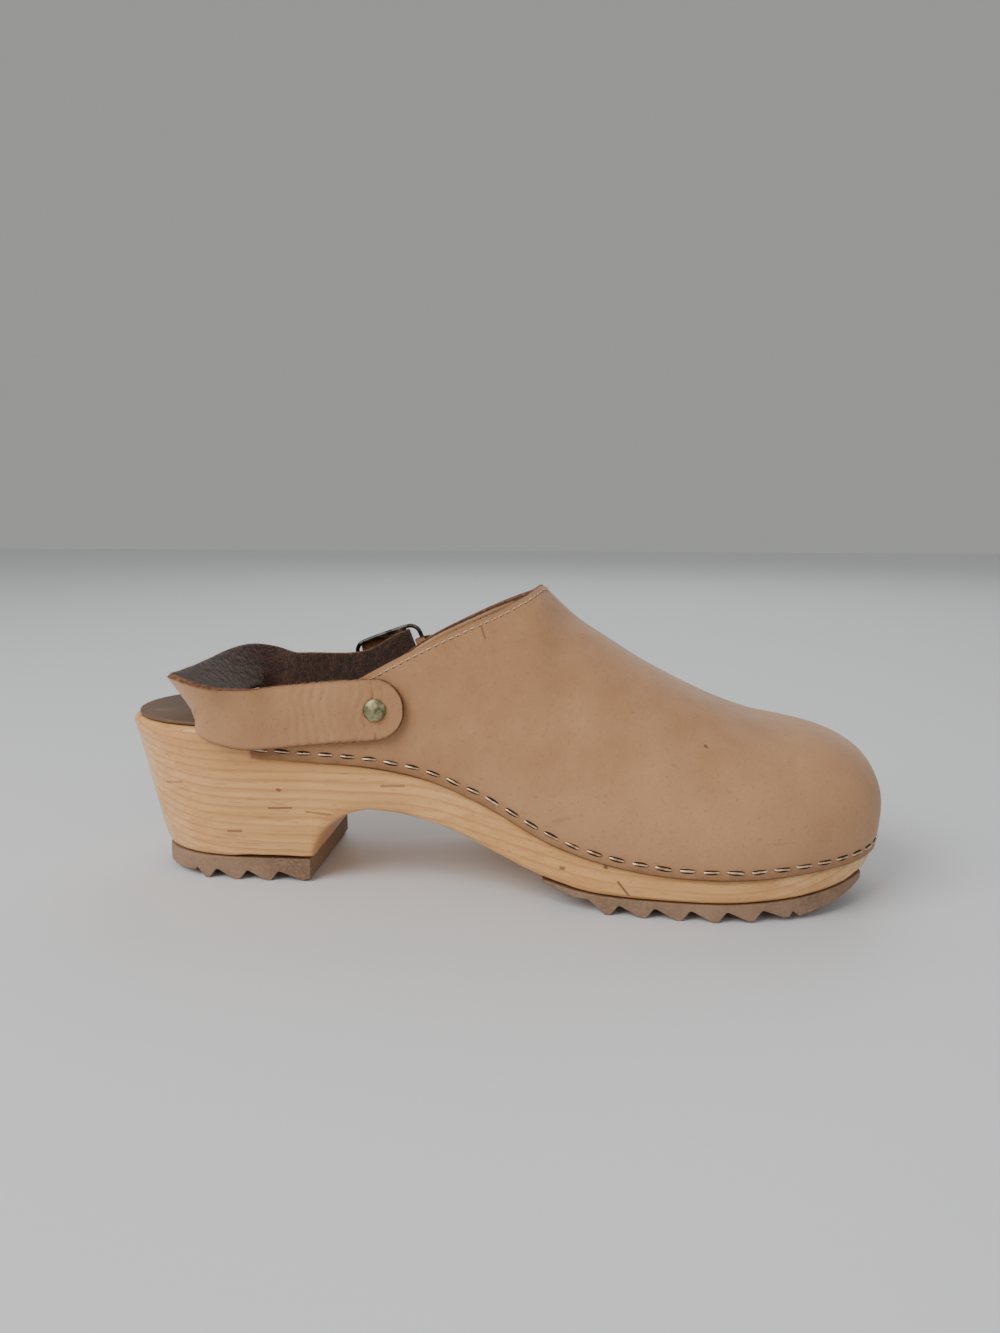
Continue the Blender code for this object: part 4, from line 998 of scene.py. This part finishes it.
def fibreTree():
    tree = Tree("fibresOnFaces", [("Item", "Object"), ("Density", "Float"), ("Lean", "Float"),
                                  ("Seed", "Int"), ("Material", "Material")])
    where = tree.node("GeometryNodeInputNamedAttribute", {"data_type": "FLOAT"}, {"Name": "nap"})
    dense = tree.node("ShaderNodeMath", {"operation": "MULTIPLY"},
                      {0: where.outputs[0], 1: tree.given("Density")})
    spots = tree.node("GeometryNodeDistributePointsOnFaces", None,
                      {0: tree.given("Geometry"), "Density": dense.outputs[0], "Seed": tree.given("Seed")})
    lean = tree.node("FunctionNodeRandomValue", {"data_type": "FLOAT_VECTOR"},
                     {0: (-1.0, -1.0, -3.14), 1: (1.0, 1.0, 3.14), "Seed": tree.given("Seed")})
    scaled = tree.node("ShaderNodeVectorMath", {"operation": "SCALE"},
                       {0: lean.outputs[0], "Scale": tree.given("Lean")})
    asRotation = tree.node("FunctionNodeEulerToRotation", None, {0: scaled.outputs[0]})
    turned = tree.node("FunctionNodeRotateRotation", {"rotation_space": "LOCAL"},
                       {0: spots.outputs["Rotation"], 1: asRotation.outputs[0]})
    size = tree.node("FunctionNodeRandomValue", {"data_type": "FLOAT"},
                     {2: 0.35, 3: 1.0, "Seed": tree.given("Seed")})
    info = tree.node("GeometryNodeObjectInfo", None, {"Object": tree.given("Item")})
    spread = tree.node("GeometryNodeInstanceOnPoints", None,
                       {"Points": spots.outputs[0], "Instance": info.outputs["Geometry"],
                        "Rotation": turned.outputs[0], "Scale": size.outputs[1]})
    return tree.close(spread.outputs[0])


def fibrePaint():
    paint = Paint("fibre", suede["fibre"], 0.9)
    tone = paint.noise(600, 2, 0.5)
    paint.set("Base Color", paint.mix(paint.between(tone, 0.35, 0.65), suede["mid"], suede["fibre"]))
    return paint.material


paints["fibre"] = fibrePaint()
onFaces = fibreTree()


def fibreItem():  # a bent three-sided hair
    s = fibre
    shape = bmesh.new()
    rings = []
    for share, bend in ((0.0, 0.0), (0.55, 0.10), (1.0, 0.34)):
        radius = s["width"] / 2 * (1 - 0.7 * share)
        centre = Vector((bend * s["length"], 0, share * s["length"]))
        rings.append([shape.verts.new(centre + Vector((math.cos(a), math.sin(a), 0)) * radius)
                      for a in (2 * math.pi * k / 3 for k in range(3))])
    for low, high in zip(rings, rings[1:]):
        for k in range(3):
            shape.faces.new((low[k], low[(k + 1) % 3], high[(k + 1) % 3], high[k]))
    shape.faces.new(rings[-1])
    return shape


def fibresOn(piece, name):
    s = fibre
    base = piece.data.copy()
    layer = base.attributes.new("nap", "FLOAT", "FACE")
    shares = {edgeSlot: s["edgeShare"], fleshSlot: s["fleshShare"], grainSlot: 0.0}
    layer.data.foreach_set("value", [shares[f.material_index] for f in base.polygons])
    holder = bpy.data.objects.new(name, base)
    bpy.context.scene.collection.objects.link(holder)
    item = objectFrom(name + "Item", fibreItem(), [])
    withTree(holder, onFaces, {"Item": item, "Density": s["density"], "Lean": s["lean"],
                               "Seed": s["seed"], "Material": paints["fibre"]})
    bpy.data.objects.remove(item)
    finish(holder, None)
    print(name, len(holder.data.polygons))


fibresOn(strapPiece, "strapFibres")
fibresOn(tabPiece, "tabFibres")
print("fibres made")


# Floor, light and camera

stageSet = {
    "floor": rgb(226, 228, 232), "floorSize": 4.0,
    "world": (0.62, 0.62, 0.60, 1.0), "worldStrength": 0.55,
    "key": {"at": (-0.75, -0.75, 0.95), "aim": (0.0, 0.0, 0.04), "size": 0.9, "power": 16.0,
            "tint": (1.0, 0.98, 0.95)},
    "fill": {"at": (0.9, -0.9, 0.6), "aim": (0.0, 0.0, 0.05), "size": 1.2, "power": 3.0,
             "tint": (0.95, 0.97, 1.0)},
    "back": {"at": (0.1, 0.9, 0.9), "aim": (0.0, 0.0, 0.05), "size": 1.0, "power": 4.0,
             "tint": (1.0, 1.0, 1.0)},
}


def floorAndLight():
    s = stageSet
    half = s["floorSize"] / 2
    mesh = bpy.data.meshes.new("floor")
    corners = [(-half, -half, 0), (half, -half, 0), (half, half, 0), (-half, half, 0)]
    mesh.from_pydata(corners, [], [(0, 1, 2, 3)])
    floor = bpy.data.objects.new("floor", mesh)
    bpy.context.scene.collection.objects.link(floor)
    paint = Paint("floorPaint", s["floor"], 0.5)
    paint.bump(paint.noise(1.0, 3, 0.6, stretch=(40, 500, 1)), 0.06 * mm)
    mesh.materials.append(paint.material)
    for name in ("key", "fill", "back"):
        light = bpy.data.lights.new(name, "AREA")
        light.size = s[name]["size"]
        light.energy = s[name]["power"]
        light.color = s[name]["tint"]
        lamp = bpy.data.objects.new(name, light)
        lamp.location = s[name]["at"]
        aim = Vector(s[name]["aim"]) - Vector(s[name]["at"])
        lamp.rotation_euler = aim.to_track_quat("-Z", "Y").to_euler()
        bpy.context.scene.collection.objects.link(lamp)
    world = bpy.context.scene.world or bpy.data.worlds.new("room")
    bpy.context.scene.world = world
    world.use_nodes = True
    sky = world.node_tree.nodes["Background"]
    sky.inputs[0].default_value = s["world"]
    sky.inputs[1].default_value = s["worldStrength"]


cameraSet = {"at": (34.0, -347.6, 132.9), "look": (-0.0965, 0.9807, -0.1700),
             "lens": 27.09, "sensor": 36.0, "nearest": 0.01}


def camera():
    s = cameraSet
    data = bpy.data.cameras.new("camera")
    data.lens = s["lens"]
    data.sensor_width = s["sensor"]
    data.clip_start = s["nearest"]
    made = bpy.data.objects.new("camera", data)
    made.location = place(*s["at"])
    made.rotation_euler = Vector(s["look"]).to_track_quat("-Z", "Y").to_euler()
    bpy.context.scene.collection.objects.link(made)
    bpy.context.scene.camera = made


floorAndLight()
camera()
print("stage set")
